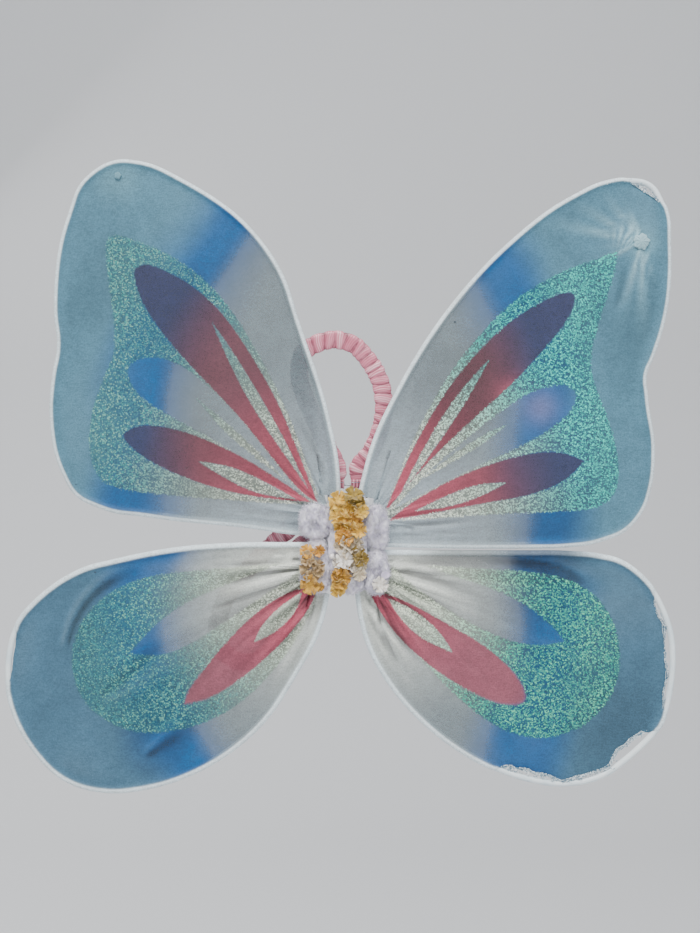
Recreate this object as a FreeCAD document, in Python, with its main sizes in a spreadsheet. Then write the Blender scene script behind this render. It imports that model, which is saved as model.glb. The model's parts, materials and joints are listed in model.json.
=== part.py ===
import FreeCAD, Part
import math
import os
import Sketcher

# Fairy wings for a small child: four wire loops in white sleeving, each covered by a
# stretched nylon sock, joined at a padded hub with felt flowers and two elastic arm loops.
# Frame: origin at the middle of the back pad's face, +Z up, +X to the viewer's right when
# the decorated side is seen, -Y out of the decorated side and +Y towards the wearer.

doc = FreeCAD.newDocument("fairy_wings")
sheet = doc.addObject("Spreadsheet::Sheet", "dimensions")

# ---------------------------------------------------------------- driving dimensions, mm
SIZES = [
    ("wing_depth", 13.0),       # the wings' middle plane, in front of the back pad's face
    ("edge_inset", 2.2),        # from a wing's outer edge in to the middle of its wire
    ("wire_dia", 1.6),          # spring wire inside each wing's edge
    ("sleeve_bore", 1.7),
    ("sleeve_dia", 4.2),        # white plastic sleeving over the wire
    ("sock_gap", 0.1),          # air between sleeve and nylon
    ("sock_wall", 0.3),         # one layer of nylon
    ("binding_width", 5.0),     # tape over the sock's open end
    ("binding_wall", 0.6),
    ("core_width", 10.0),       # taped bundle of wire ends
    ("core_height", 56.0),
    ("core_front", 17.0),
    ("core_corner", 2.0),
    ("bundle_dia", 6.6),
    ("bundle_height", 52.0),
    ("bundle_bore", 6.7),
    ("bundle_room", 52.4),      # height of the hollow that the bundle lies in
    ("pad_width", 32.0),        # felt pad against the wearer's back
    ("pad_height", 60.0),
    ("pad_wall", 5.0),
    ("pad_corner", 8.0),
    ("felt_wall", 1.0),         # felt backing under the flowers
    ("plush_corner", 4.0),      # corners of the felt backing and of every plush piece
    ("plush_round", 1.0),       # rounding of the hub plush's front rim
    ("tuft_round", 2.0),        # rounding of each wing tuft's front rim
    ("fold_x", 13.0),           # distance of each wing's fold line from the middle
    ("fold_depth", 22.0),       # depth of the fold lines, level with the plush's front
    ("fold_gap", 0.2),
    ("tuft_back", 16.3),        # back of the plush that rides on the wings
    ("petal_wall", 1.2),        # one layer of die-cut felt
    ("flower_gap", 0.1),
    ("strap_width", 13.0),
    ("strap_wall", 4.5),        # height of the gathered satin cover
    ("channel_width", 9.0),     # hollow inside the cover
    ("channel_wall", 1.8),
    ("elastic_width", 8.6),
    ("elastic_wall", 1.4),
    ("strap_depth", 3.15),      # middle of the straps, in front of the back pad's face
    ("bar_dia", 1.6),           # wire bars that the straps are looped round
    ("bar_bend", 1.2),          # radius of the bars' bent corners
    ("eye_bore", 1.7),
    ("eye_dia", 4.2),
    ("eye_width", 9.0),
    ("eye_gap", 0.05),          # between each folded end and the strap that it carries on
    ("knot_dia", 9.0),          # gathered tip of each upper sock
    ("knot_wall", 1.4),
    ("pearl_dia", 4.0),
]
for row, (alias, value) in enumerate(SIZES, start=1):
    sheet.set("A%d" % row, alias)
    sheet.set("B%d" % row, str(value))
    sheet.setAlias("B%d" % row, alias)
doc.recompute()


def size(alias):
    return float(sheet.get(alias))


# Outlines are knots (x, z) in mm that a chain of tangent arcs passes through. A wing's
# knots lie on its outer edge; the wire runs edge_inset inside them. Each chain starts
# where the wing's inner edge leaves the hub and ends at its other root.
UPPER_LEFT = [(-5.5, 31), (-6.5, 52), (-12.5, 83), (-30.5, 141), (-50, 192.5), (-68, 216),
              (-108, 245.5), (-145, 261.3), (-157, 262.2), (-181.5, 249), (-194, 221),
              (-202.6, 160), (-200.6, 131), (-203.8, 113), (-205.6, 88), (-197.5, 47),
              (-188, 31), (-170, 21.5), (-134, 15.3), (-68, 8.2), (-33, 3.6), (-14, 3.4)]
UPPER_RIGHT = [(6.9, 31), (9, 40), (15.2, 63), (37.3, 110.4), (69, 159.4), (105.6, 200.3),
               (153, 236.5), (177, 247.5), (191, 249.8), (209.5, 246), (219, 231.5),
               (222.8, 198), (218, 148.6), (211.3, 127.4), (205.8, 113), (206.8, 99),
               (211.4, 61), (209.6, 38.6), (203.4, 20), (193.3, 7.7), (173, -1.5),
               (146, -5.2), (125, -5.6), (104.9, -5.7), (63, -5.5), (26, -4.6), (14, -4.6)]
LOWER_LEFT = [(-13.1, -37.3), (-16.6, -54), (-38.6, -98.5), (-55.5, -123.5), (-95, -155.8),
              (-140, -172.2), (-165, -174.4), (-189, -169.3), (-222.5, -138), (-236.5, -88),
              (-229, -57), (-212, -37.5), (-187, -21), (-154, -11.7), (-120, -5.4),
              (-80, -2.2), (-34, -1.7), (-14, -1.7)]
LOWER_RIGHT = [(4.8, -31.7), (7.2, -51.5), (13.8, -74.6), (26.2, -97.1), (59.1, -133.2),
               (102.9, -160), (125.2, -167.2), (145.5, -170.2), (170.3, -166.6),
               (200.9, -146.2), (215.1, -130.8), (225, -98.2), (222, -54.6), (203.8, -24.5),
               (188.5, -13.6), (171.4, -9.2), (150, -7.6), (115, -7.3), (80, -7.2),
               (26.9, -7.0), (14, -7.0)]
# The arm loops, as centre lines of the gathered strap.
UPPER_LOOP = [(-7.5, 41), (-7.5, 44.5), (-7.5, 48), (-14.5, 65.5), (-23, 83), (-30, 99),
              (-34.2, 116), (-31, 130), (-20, 137), (-8, 139), (3, 136), (14, 125),
              (22, 111), (25, 95), (23, 78), (16.5, 62), (7, 48), (7, 44.5), (7, 41)]
LOWER_LOOP = [(-33.5, 13.9), (-39.5, 8.6), (-45.5, 3.3), (-53, -4.2), (-72, -24),
              (-88, -48), (-91, -66), (-84, -81), (-69, -86), (-55, -79), (-46, -62),
              (-41.5, -42), (-40.5, -24), (-35.9, -7.6), (-29.9, -2.3), (-23.9, 3)]
LOOP_BARS = {                   # hinge bar of each arm loop: middle (x, z), pull direction
    "upper_loop": ((-0.25, 38.0), 90.0),
    "lower_loop": ((-25.7, 11.1), 221.35),
}


# ------------------------------------------------------------------------- plane geometry
def add(p, q, k=1.0):
    return (p[0] + k * q[0], p[1] + k * q[1])


def dot(p, q):
    return p[0] * q[0] + p[1] * q[1]


def unit(p):
    length = math.hypot(*p)
    return (p[0] / length, p[1] / length)


def left_of(direction):
    return (-direction[1], direction[0])


def knot_directions(knots):
    """The direction at each knot, from the circle through it and its neighbours."""
    found = []
    for before, here, after in zip(knots, knots[1:], knots[2:]):
        one, two = add(here, before, -1), add(after, here, -1)
        weight_one, weight_two = math.hypot(*two), math.hypot(*one)
        first, last = unit(one), unit(two)
        found.append(unit((first[0] * weight_one + last[0] * weight_two,
                           first[1] * weight_one + last[1] * weight_two)))

    def mirrored(chord, direction):
        along = dot(chord, direction)
        return (2 * along * chord[0] - direction[0], 2 * along * chord[1] - direction[1])

    first = mirrored(unit(add(knots[1], knots[0], -1)), found[0])
    last = mirrored(unit(add(knots[-1], knots[-2], -1)), found[-1])
    return [first] + found + [last]


def arc_piece(start, direction, end):
    """An arc (start, direction at start, end, signed radius); the radius is 0 if straight."""
    chord = add(end, start, -1)
    rise = dot(chord, left_of(direction))
    if abs(rise) < 1e-9 * math.hypot(*chord):
        return (start, unit(chord), end, 0.0)
    return (start, direction, end, dot(chord, chord) / (2 * rise))


def chain(knots):
    """Two tangent arcs between each pair of knots, so that the whole line is smooth."""
    arcs = []
    directions = knot_directions(knots)
    for start, end, first, last in zip(knots, knots[1:], directions, directions[1:]):
        span = add(end, start, -1)
        both = add(first, last)
        bend = 2 * (1 - dot(first, last))
        along = dot(span, both)
        if bend < 1e-9:
            reach = dot(span, span) / (2 * along)
        else:
            reach = (-along + math.sqrt(along ** 2 + bend * dot(span, span))) / bend
        middle = add(add(start, first, reach), add(end, last, -reach))
        middle = (middle[0] / 2, middle[1] / 2)
        arcs.append(arc_piece(start, first, middle))
        arcs.append(reverse(arc_piece(end, (-last[0], -last[1]), middle)))
    return arcs


def reverse(arc):
    start, direction, end, radius = arc
    turned = end_direction(arc)
    return (end, (-turned[0], -turned[1]), start, -radius)


def end_direction(arc):
    start, direction, end, radius = arc
    chord = unit(add(end, start, -1))
    along = dot(chord, direction)
    return (2 * along * chord[0] - direction[0], 2 * along * chord[1] - direction[1])


def shifted(arcs, distance):
    """The chain moved sideways, to the left of its direction if distance is positive."""
    moved = []
    for arc in arcs:
        start, direction, end, radius = arc
        new_start = add(start, left_of(direction), distance)
        new_end = add(end, left_of(end_direction(arc)), distance)
        moved.append((new_start, direction, new_end, radius - distance if radius else 0.0))
    return moved


def vector(p):
    return FreeCAD.Vector(p[0], p[1], 0)


def curve(arc):
    start, direction, end, radius = arc
    if not radius:
        return Part.LineSegment(vector(start), vector(end))
    centre = add(start, left_of(direction), radius)
    half = add(((start[0] + end[0]) / 2, (start[1] + end[1]) / 2), centre, -1)
    middle = add(centre, unit(half), abs(radius))
    return Part.Arc(vector(start), vector(middle), vector(end))


def line(p, q):
    return Part.LineSegment(vector(p), vector(q))


def closed_by_lines(curves, corners):
    """The curves, then straight lines through the corners back to the start."""
    start = curves[0].StartPoint
    last = curves[-1].EndPoint
    stops = [(last.x, last.y)] + list(corners) + [(start.x, start.y)]
    return curves + [line(p, q) for p, q in zip(stops, stops[1:])]


# ------------------------------------------------------------------------ document objects
PARTS = []
NO_TURN = FreeCAD.Rotation()


def new_body(label):
    body = doc.addObject("PartDesign::Body", label)
    body.Label = label
    PARTS.append(body)
    return body


def new_sketch(body, name, curves, offset=None, plane="XZ_Plane"):
    """A sketch on one of the body's own planes; on XZ_Plane its height runs along -Y."""
    sketch = body.newObject("Sketcher::SketchObject", body.Label + "_" + name)
    support = [f for f in body.Origin.OriginFeatures if f.Role == plane][0]
    sketch.AttachmentSupport = [(support, "")]
    sketch.MapMode = "FlatFace"
    sketch.AttachmentOffset = offset or FreeCAD.Placement()
    sketch.addGeometry(curves, False)
    return sketch


def at_depth(sketch, expression):
    sketch.setExpression(".AttachmentOffset.Base.z", expression)
    return sketch


def pad(body, sketch, length, both_sides=True):
    feature = body.newObject("PartDesign::Pad", sketch.Name + "_pad")
    feature.Profile = sketch
    feature.SideType = "Symmetric" if both_sides else "One side"
    feature.setExpression("Length", length)
    return feature


def pocket(body, sketch, length):
    feature = body.newObject("PartDesign::Pocket", sketch.Name + "_pocket")
    feature.Profile = sketch
    feature.SideType = "Symmetric"
    feature.setExpression("Length", length)
    return feature


def pipe(body, arcs, depth, diameters):
    """A round rod or tube along a chain in the XZ plane at a depth (a sheet expression)."""
    path = at_depth(new_sketch(body, "path", [curve(a) for a in arcs]), depth)
    start, direction = arcs[0][0], arcs[0][1]
    turn = FreeCAD.Rotation(FreeCAD.Vector(0, 0, 1), FreeCAD.Vector(*direction, 0))
    offset = FreeCAD.Placement(FreeCAD.Vector(*start, 0), turn)
    circles = [Part.Circle(FreeCAD.Vector(), FreeCAD.Vector(0, 0, 1), 1 + n)
               for n in range(len(diameters))]
    profile = at_depth(new_sketch(body, "profile", circles, offset), depth)
    for n, expression in enumerate(diameters):
        number = profile.addConstraint(Sketcher.Constraint("Diameter", n, size(expression)))
        profile.setExpression("Constraints[%d]" % number, "dimensions." + expression)
    feature = body.newObject("PartDesign::AdditivePipe", body.Label + "_pipe")
    feature.Profile = profile
    feature.Spine = (path, ["Edge%d" % (n + 1) for n in range(len(arcs))])
    return feature


def round_over(body, base, radius, edges):
    """Rounds the chosen edges of a feature; edges is a test on an edge of its shape."""
    doc.recompute()
    names = ["Edge%d" % (n + 1) for n, e in enumerate(base.Shape.Edges) if edges(e)]
    feature = body.newObject("PartDesign::Fillet", base.Name + "_round")
    feature.Base = (base, names)
    feature.Radius = radius
    return feature


# ------------------------------------------------------------------------------- the wings
WINGS = {
    "upper_left": (UPPER_LEFT, -1), "upper_right": (UPPER_RIGHT, 1),
    "lower_left": (LOWER_LEFT, 1), "lower_right": (LOWER_RIGHT, -1),
}   # the sign says on which side of the chain the outside lies: 1 is left, -1 is right
DEPTH = "dimensions.wing_depth"
half_sleeve = size("sleeve_dia") / 2


def make_wing_wire(name, arcs):
    pipe(new_body(name + "_wing_wire"), arcs, DEPTH, ["wire_dia"])


def make_wing_sleeve(name, arcs):
    pipe(new_body(name + "_wing_sleeve"), arcs, DEPTH, ["sleeve_dia", "sleeve_bore"])


def make_wing_sock(name, arcs, side):
    """A flat bag of nylon round the sleeved wire, open at the root."""
    body = new_body(name + "_wing_sock")
    hollow = half_sleeve + size("sock_gap")
    outer = [curve(a) for a in shifted(arcs, side * (hollow + size("sock_wall")))]
    bag = at_depth(new_sketch(body, "bag", closed_by_lines(outer, [])), DEPTH)
    pad(body, bag, "dimensions.sleeve_dia + 2 * (dimensions.sock_gap + dimensions.sock_wall)")
    inner_arcs = shifted(arcs, side * hollow)
    mouth = 4.0
    past_end = add(inner_arcs[-1][2], end_direction(inner_arcs[-1]), mouth)
    past_start = add(inner_arcs[0][0], inner_arcs[0][1], -mouth)
    inner = closed_by_lines([curve(a) for a in inner_arcs], [past_end, past_start])
    room = at_depth(new_sketch(body, "room", inner), DEPTH)
    pocket(body, room, "dimensions.sleeve_dia + 2 * dimensions.sock_gap")
    return outer


def make_root_binding(name, outer):
    """Tape sewn over both faces of the sock's mouth."""
    body = new_body(name + "_root_binding")
    start, end = outer[0].StartPoint, outer[-1].EndPoint
    along = unit((end.x - start.x, end.y - start.y))
    inward = left_of(along)
    middle_x = sum(c.StartPoint.x for c in outer) / len(outer)
    middle_z = sum(c.StartPoint.y for c in outer) / len(outer)
    if dot(inward, (middle_x - start.x, middle_z - start.y)) < 0:
        inward = (-inward[0], -inward[1])
    inset = half_sleeve
    low = add((start.x, start.y), along, inset)
    high = add((end.x, end.y), along, -inset)
    width = size("binding_width")
    corners = [low, high, add(high, inward, width), add(low, inward, width)]
    ring = [line(p, q) for p, q in zip(corners, corners[1:] + corners[:1])]
    sock = "(dimensions.sleeve_dia / 2 + dimensions.sock_gap + dimensions.sock_wall)"
    front = at_depth(new_sketch(body, "front", ring), DEPTH + " + " + sock)
    pad(body, front, "dimensions.binding_wall", both_sides=False)
    back = at_depth(new_sketch(body, "back", ring),
                    DEPTH + " - " + sock + " - dimensions.binding_wall")
    pad(body, back, "dimensions.binding_wall", both_sides=False)


def rounded_box(body, low, high, radius, depth, length, edge_radius):
    """A pad with rounded corners, from depth forwards, with its front rim rounded."""
    (x0, z0), (x1, z1) = low, high
    k = radius * (1 - math.sqrt(0.5))
    spots = [((x0 + radius, z0), (x1 - radius, z0)), ((x1, z0 + radius), (x1, z1 - radius)),
             ((x1 - radius, z1), (x0 + radius, z1)), ((x0, z1 - radius), (x0, z0 + radius))]
    corners = [(x1 - k, z0 + k), (x1 - k, z1 - k), (x0 + k, z1 - k), (x0 + k, z0 + k)]
    curves = []
    for n, (start, end) in enumerate(spots):
        after = spots[(n + 1) % 4][0]
        curves.append(line(start, end))
        curves.append(Part.Arc(vector(end), vector(corners[n]), vector(after)))
    block = pad(body, at_depth(new_sketch(body, "outline", curves), depth), length, False)
    doc.recompute()
    front = block.Shape.BoundBox.YMin
    if edge_radius:
        round_over(body, block, edge_radius,
                   lambda e: max(abs(v.Y - front) for v in e.Vertexes) < 1e-6)
    return block


TUFTS = {       # plush that rides on each wing's root: outermost x, lowest z, highest z
    "upper_left": (-33.0, 2.0, 24.0), "upper_right": (27.0, -5.6, 24.0),
    "lower_left": (-32.0, -36.0, 0.2), "lower_right": (27.0, -36.0, -6.4),
}


def make_tuft(name):
    far_x, low_z, high_z = TUFTS[name]
    near_x = math.copysign(size("fold_x") + size("fold_gap"), far_x)
    low = (min(near_x, far_x), low_z)
    high = (max(near_x, far_x), high_z)
    rounded_box(new_body(name + "_plush_tuft"), low, high, size("plush_corner"),
                "dimensions.tuft_back", "dimensions.fold_depth - dimensions.tuft_back",
                size("tuft_round"))


for name, (knots, side) in WINGS.items():
    arcs = shifted(chain(knots), -side * size("edge_inset"))
    tightest = min(abs(a[3]) for a in arcs if a[3])
    print(name, "wing: tightest bend of the wire %.1f mm" % tightest)
    make_wing_wire(name, arcs)
    make_wing_sleeve(name, arcs)
    outer = make_wing_sock(name, arcs, side)
    make_root_binding(name, outer)
    make_tuft(name)


def make_tip_knot(label, x, z):
    """The sock's gathered and knotted end, lying on the nylon's front layer."""
    knot = doc.addObject("Part::Cylinder", label)
    knot.Label = label
    knot.setExpression("Radius", "dimensions.knot_dia / 2")
    knot.setExpression("Height", "dimensions.knot_wall")
    face = size("wing_depth") + half_sleeve + size("sock_gap") + size("sock_wall")
    knot.Placement = FreeCAD.Placement(FreeCAD.Vector(x, -face, z),
                                       FreeCAD.Rotation(FreeCAD.Vector(1, 0, 0), 90))
    PARTS.append(knot)


make_tip_knot("upper_left_tip_knot", -158.5, 251.0)
make_tip_knot("upper_right_tip_knot", 202.0, 205.5)


# --------------------------------------------------------------------------------- the hub
def make_wire_bundle():
    """The eight wire ends, twisted together inside the tape."""
    bundle = doc.addObject("Part::Cylinder", "hub_wire_bundle")
    bundle.Label = "hub_wire_bundle"
    bundle.setExpression("Radius", "dimensions.bundle_dia / 2")
    bundle.setExpression("Height", "dimensions.bundle_height")
    middle = (size("core_front") + size("pad_wall")) / 2
    bundle.Placement = FreeCAD.Placement(
        FreeCAD.Vector(0, -middle, -size("bundle_height") / 2), NO_TURN)
    PARTS.append(bundle)


def make_core_wrap():
    """White tape wound round the wire bundle."""
    body = new_body("hub_core_wrap")
    half_x, half_z = size("core_width") / 2, size("core_height") / 2
    rounded_box(body, (-half_x, -half_z), (half_x, half_z), size("core_corner"),
                "dimensions.pad_wall", "dimensions.core_front - dimensions.pad_wall", 0)
    circle = Part.Circle(FreeCAD.Vector(), FreeCAD.Vector(0, 0, 1), 1.0)
    middle = (size("core_front") + size("pad_wall")) / 2
    offset = FreeCAD.Placement(FreeCAD.Vector(0, -middle, 0), NO_TURN)
    hole = new_sketch(body, "hole", [circle], offset, "XY_Plane")
    number = hole.addConstraint(Sketcher.Constraint("Diameter", 0, size("bundle_bore")))
    hole.setExpression("Constraints[%d]" % number, "dimensions.bundle_bore")
    pocket(body, hole, "dimensions.bundle_room")


def make_back_pad():
    """Felt pad against the wearer, with four holes for the ends of the strap bars."""
    body = new_body("back_pad")
    half_x, half_z = size("pad_width") / 2, size("pad_height") / 2
    rounded_box(body, (-half_x, -half_z), (half_x, half_z), size("pad_corner"), "0",
                "dimensions.pad_wall", 0)
    for name, place, plane, length in BAR_HOLES:
        circle = Part.Circle(FreeCAD.Vector(), FreeCAD.Vector(0, 0, 1), 1.0)
        offset = FreeCAD.Placement(place, NO_TURN)
        hole = new_sketch(body, name, [circle], offset, plane)
        number = hole.addConstraint(Sketcher.Constraint("Diameter", 0, size("eye_bore")))
        hole.setExpression("Constraints[%d]" % number, "dimensions.eye_bore")
        feature = body.newObject("PartDesign::Pocket", body.Label + "_" + name + "_pocket")
        feature.Profile = hole
        feature.SideType = "Symmetric"
        feature.Length = length


BAR_ENDS = {        # where each bar's two ends stop inside the pad
    "upper_loop": ((-13.5, 24.0), (13.0, 24.0)),
    "lower_loop": ((-10.0, 0.7), (-10.0, 22.1)),
}
BAR_REACH = {"upper_loop": (13.25, 13.25), "lower_loop": (13.9, 14.7)}  # hinge run each way


def bar_corners(loop):
    """The bar's route: into the pad, along the hinge line and back into the pad."""
    middle, angle = LOOP_BARS[loop]
    along = (math.sin(math.radians(angle)), -math.cos(math.radians(angle)))
    low, high = BAR_REACH[loop]
    first, last = add(middle, along, -low), add(middle, along, high)
    start, end = BAR_ENDS[loop]
    if loop == "upper_loop":
        return [(first[0], start[1]), first, last, (last[0], end[1])]
    return [(start[0], first[1]), first, last, (end[0], last[1])]


def bent_route(corners, radius):
    """Straight runs joined by arcs of one radius."""
    arcs = []
    here = corners[0]
    for before, corner, after in zip(corners, corners[1:], corners[2:]):
        come, leave = unit(add(corner, before, -1)), unit(add(after, corner, -1))
        turn = math.acos(max(-1.0, min(1.0, dot(come, leave))))
        cut = radius * math.tan(turn / 2)
        start, end = add(corner, come, -cut), add(corner, leave, cut)
        arcs.append((here, come, start, 0.0))
        arcs.append(arc_piece(start, come, end))
        here = end
    arcs.append((here, unit(add(corners[-1], here, -1)), corners[-1], 0.0))
    return arcs


def bar_holes():
    """Each hole in the pad: sketch name, centre on its plane, plane, length both ways."""
    holes = []
    depth = size("strap_depth")
    top, side = size("pad_height") / 2, size("pad_width") / 2
    for loop in LOOP_BARS:
        route = bar_corners(loop)
        for n, (x, z) in enumerate((route[0], route[-1])):
            name = "%s_hole_%d" % (loop, n)
            if loop == "upper_loop":
                holes.append((name, FreeCAD.Vector(x, -depth, top), "XY_Plane", 13.0))
            else:
                holes.append((name, FreeCAD.Vector(-depth, z, -side), "YZ_Plane", 13.0))
    return holes


BAR_HOLES = bar_holes()
make_wire_bundle()
make_core_wrap()
make_back_pad()
for loop in LOOP_BARS:
    pipe(new_body(loop + "_bar"), bent_route(bar_corners(loop), size("bar_bend")),
         "dimensions.strap_depth", ["bar_dia"])

HUB_EDGE = size("fold_x") - size("fold_gap")
rounded_box(new_body("hub_felt_backing"), (-HUB_EDGE, -35.0), (HUB_EDGE, 27.0),
            size("plush_corner"), "dimensions.core_front", "dimensions.felt_wall", 0)
rounded_box(new_body("hub_plush_pad"), (-HUB_EDGE, -36.0), (HUB_EDGE, 28.0),
            size("plush_corner"), "dimensions.core_front + dimensions.felt_wall",
            "dimensions.fold_depth - dimensions.core_front - dimensions.felt_wall",
            size("plush_round"))


# ----------------------------------------------------------------------------- the flowers
def petal_ring(radius, petals, notch):
    """A closed ring of bulging petals, each one arc from notch to notch; notch is the
    inner corners' radius as a share of the whole radius."""
    curves = []
    step = 2 * math.pi / petals
    for n in range(petals):
        spots = [(radius * k * math.sin(a), radius * k * math.cos(a)) for k, a in
                 ((notch, n * step), (1.0, (n + 0.5) * step), (notch, (n + 1) * step))]
        curves.append(Part.Arc(*[vector(p) for p in spots]))
    return curves


FLOWERS = [     # label, x, z, radius, petals, felt layer above the plush, felt layers
    ("gold_flower_top_left", -6.9, 27.5, 5.6, 5, 0, 1),
    ("gold_flower_upper_left", -5.9, 16.6, 6.4, 6, 1, 1),
    ("gold_flower_crown", 3.9, 30.5, 5.6, 5, 1, 1),
    ("gold_flower_right", 8.9, 20.4, 6.0, 6, 2, 1),
    ("gold_flower_middle", 2.6, 11.6, 6.4, 6, 0, 2),
    ("orange_flower", -2.4, 3.4, 5.4, 5, 2, 1),
    ("cream_flower_middle", 3.4, -3.4, 6.4, 6, 0, 2),
    ("cream_star", -2.6, -11.8, 6.0, 5, 2, 1),
    ("olive_flower", 8.0, -11.4, 4.6, 5, 3, 1),
    ("cream_flower_lower_right", 7.6, -22.2, 5.0, 5, 0, 1),
    ("gold_flower_lower_middle", -4.8, -25.2, 6.2, 6, 1, 1),
    ("gold_flower_bottom", -7.0, -32.6, 5.4, 5, 0, 1),
    ("cream_flower_bottom_right", 21.6, -29.6, 4.6, 5, 0, 1),
    ("yellow_flower_left", -28.0, -7.2, 4.2, 5, 0, 1),
    ("tan_flower_left", -25.4, -18.4, 6.0, 6, 0, 1),
    ("gold_flower_lower_left", -25.6, -29.4, 6.0, 6, 1, 1),
]


def make_flower(label, x, z, radius, petals, level, layers):
    """Die-cut felt, one or two layers, the upper one smaller and turned half a petal."""
    body = new_body(label)
    felt, gap = size("petal_wall"), size("flower_gap")
    for layer in range(layers):
        ring = petal_ring(radius * (1 - 0.3 * layer), petals, notch=0.68)
        turn = FreeCAD.Rotation(FreeCAD.Vector(0, 0, 1), 180 / petals * layer)
        offset = FreeCAD.Placement(FreeCAD.Vector(), turn)
        sketch = at_depth(new_sketch(body, "felt_%d" % layer, ring, offset),
                          "%d * dimensions.petal_wall" % layer)
        pad(body, sketch, "dimensions.petal_wall", both_sides=False)
    front = size("fold_depth") + gap + level * (felt + gap)
    body.Placement = FreeCAD.Placement(FreeCAD.Vector(x, -front, z), NO_TURN)


for flower in FLOWERS:
    make_flower(*flower)


def make_pearl(label, x, z):
    pearl = doc.addObject("Part::Sphere", label)
    pearl.Label = label
    pearl.setExpression("Radius", "dimensions.pearl_dia / 2")
    front = size("fold_depth") + size("pearl_dia") / 2 + size("flower_gap")
    pearl.Placement = FreeCAD.Placement(FreeCAD.Vector(x, -front, z), NO_TURN)
    PARTS.append(pearl)


make_pearl("pearl_bead", -10.8, -10.6)


# --------------------------------------------------------------------------- the arm loops
def ribbon(body, name, arcs, width, depth="dimensions.strap_depth"):
    """A sketch of a band of even width along a chain."""
    left = shifted(arcs, width / 2)
    right = [reverse(a) for a in reversed(shifted(arcs, -width / 2))]
    curves = [curve(a) for a in left]
    curves.append(line(left[-1][2], right[0][0]))
    curves += [curve(a) for a in right]
    curves.append(line(right[-1][2], left[0][0]))
    return at_depth(new_sketch(body, name, curves), depth)


def make_strap(loop, knots):
    arcs = chain(knots)
    cover = new_body(loop + "_satin_cover")
    pad(cover, ribbon(cover, "outside", arcs, size("strap_width")), "dimensions.strap_wall")
    pocket(cover, ribbon(cover, "channel", arcs, size("channel_width")),
           "dimensions.channel_wall")
    elastic = new_body(loop + "_elastic")
    band = pad(elastic, ribbon(elastic, "band", arcs, size("elastic_width")),
               "dimensions.elastic_wall")
    doc.recompute()
    length = band.Shape.Volume / size("elastic_width") / size("elastic_wall")
    print(loop, "strap: %.0f mm long" % length)


def make_eyes(loop, knots):
    """The folded and stitched strap ends, each with a bore that turns on the bar."""
    middle, angle = LOOP_BARS[loop]
    pull = (math.cos(math.radians(angle)), math.sin(math.radians(angle)))
    along = (pull[1], -pull[0])
    radius = size("eye_dia") / 2
    solids = []
    for knot in (knots[0], knots[-1]):
        rel = add(knot, middle, -1)
        reach, aside = dot(rel, pull) - size("eye_gap"), dot(rel, along)
        half = size("eye_width") / 2
        tongue = Part.makeBox(2 * half, 2 * radius, reach)
        tongue.translate(FreeCAD.Vector(aside - half, -radius, 0))
        barrel = Part.makeCylinder(radius, 2 * half, FreeCAD.Vector(aside - half, 0, 0),
                                   FreeCAD.Vector(1, 0, 0))
        bore = Part.makeCylinder(size("eye_bore") / 2, 2 * half + 2,
                                 FreeCAD.Vector(aside - half - 1, 0, 0),
                                 FreeCAD.Vector(1, 0, 0))
        solids.append(tongue.fuse(barrel).cut(bore).removeSplitter())
    eyes = doc.addObject("Part::Feature", loop + "_end_eyes")
    eyes.Label = loop + "_end_eyes"
    eyes.Shape = Part.makeCompound(solids)
    turn = FreeCAD.Rotation(FreeCAD.Vector(0, 1, 0), 90 - angle)
    eyes.Placement = FreeCAD.Placement(
        FreeCAD.Vector(middle[0], -size("strap_depth"), middle[1]), turn)
    PARTS.append(eyes)


for loop, knots in (("upper_loop", UPPER_LOOP), ("lower_loop", LOWER_LOOP)):
    make_strap(loop, knots)
    make_eyes(loop, knots)


# ------------------------------------------------------------------- checks and the output
doc.recompute()
for thing in doc.Objects:
    if "Invalid" in thing.State or "Error" in thing.State:
        raise SystemExit("failed: %s %s" % (thing.Label, thing.State))
for part in PARTS:
    if part.Shape.isNull() or not part.Shape.isValid():
        raise SystemExit("no valid shape: " + part.Label)
os.makedirs("parts", exist_ok=True)
for part in PARTS:
    part.Shape.exportStep("parts/%s.step" % part.Label)
print(len(PARTS), "parts written")
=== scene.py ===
import json
import math

import bpy
import numpy as np
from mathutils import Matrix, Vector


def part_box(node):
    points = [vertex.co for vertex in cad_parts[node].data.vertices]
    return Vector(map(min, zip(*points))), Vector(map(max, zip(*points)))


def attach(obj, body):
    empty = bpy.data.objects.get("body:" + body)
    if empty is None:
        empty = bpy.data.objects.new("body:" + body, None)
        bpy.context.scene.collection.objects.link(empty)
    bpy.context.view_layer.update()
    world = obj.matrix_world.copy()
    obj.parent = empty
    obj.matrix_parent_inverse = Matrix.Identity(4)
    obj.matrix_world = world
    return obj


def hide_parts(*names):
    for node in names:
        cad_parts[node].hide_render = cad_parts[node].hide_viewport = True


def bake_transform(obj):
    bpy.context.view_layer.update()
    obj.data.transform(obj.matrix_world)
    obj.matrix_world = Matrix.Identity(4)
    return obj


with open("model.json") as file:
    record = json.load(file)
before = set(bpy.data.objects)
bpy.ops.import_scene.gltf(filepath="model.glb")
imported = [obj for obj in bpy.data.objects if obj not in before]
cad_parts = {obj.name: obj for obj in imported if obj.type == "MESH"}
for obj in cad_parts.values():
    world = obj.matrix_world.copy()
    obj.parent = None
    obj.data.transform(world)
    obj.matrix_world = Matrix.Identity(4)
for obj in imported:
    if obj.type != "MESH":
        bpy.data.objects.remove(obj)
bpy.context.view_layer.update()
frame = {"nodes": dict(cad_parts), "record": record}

# Fairy wings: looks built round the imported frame. Metres, +Z up, decorated side -Y.
MM = 0.001
NODES = frame["nodes"]

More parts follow.
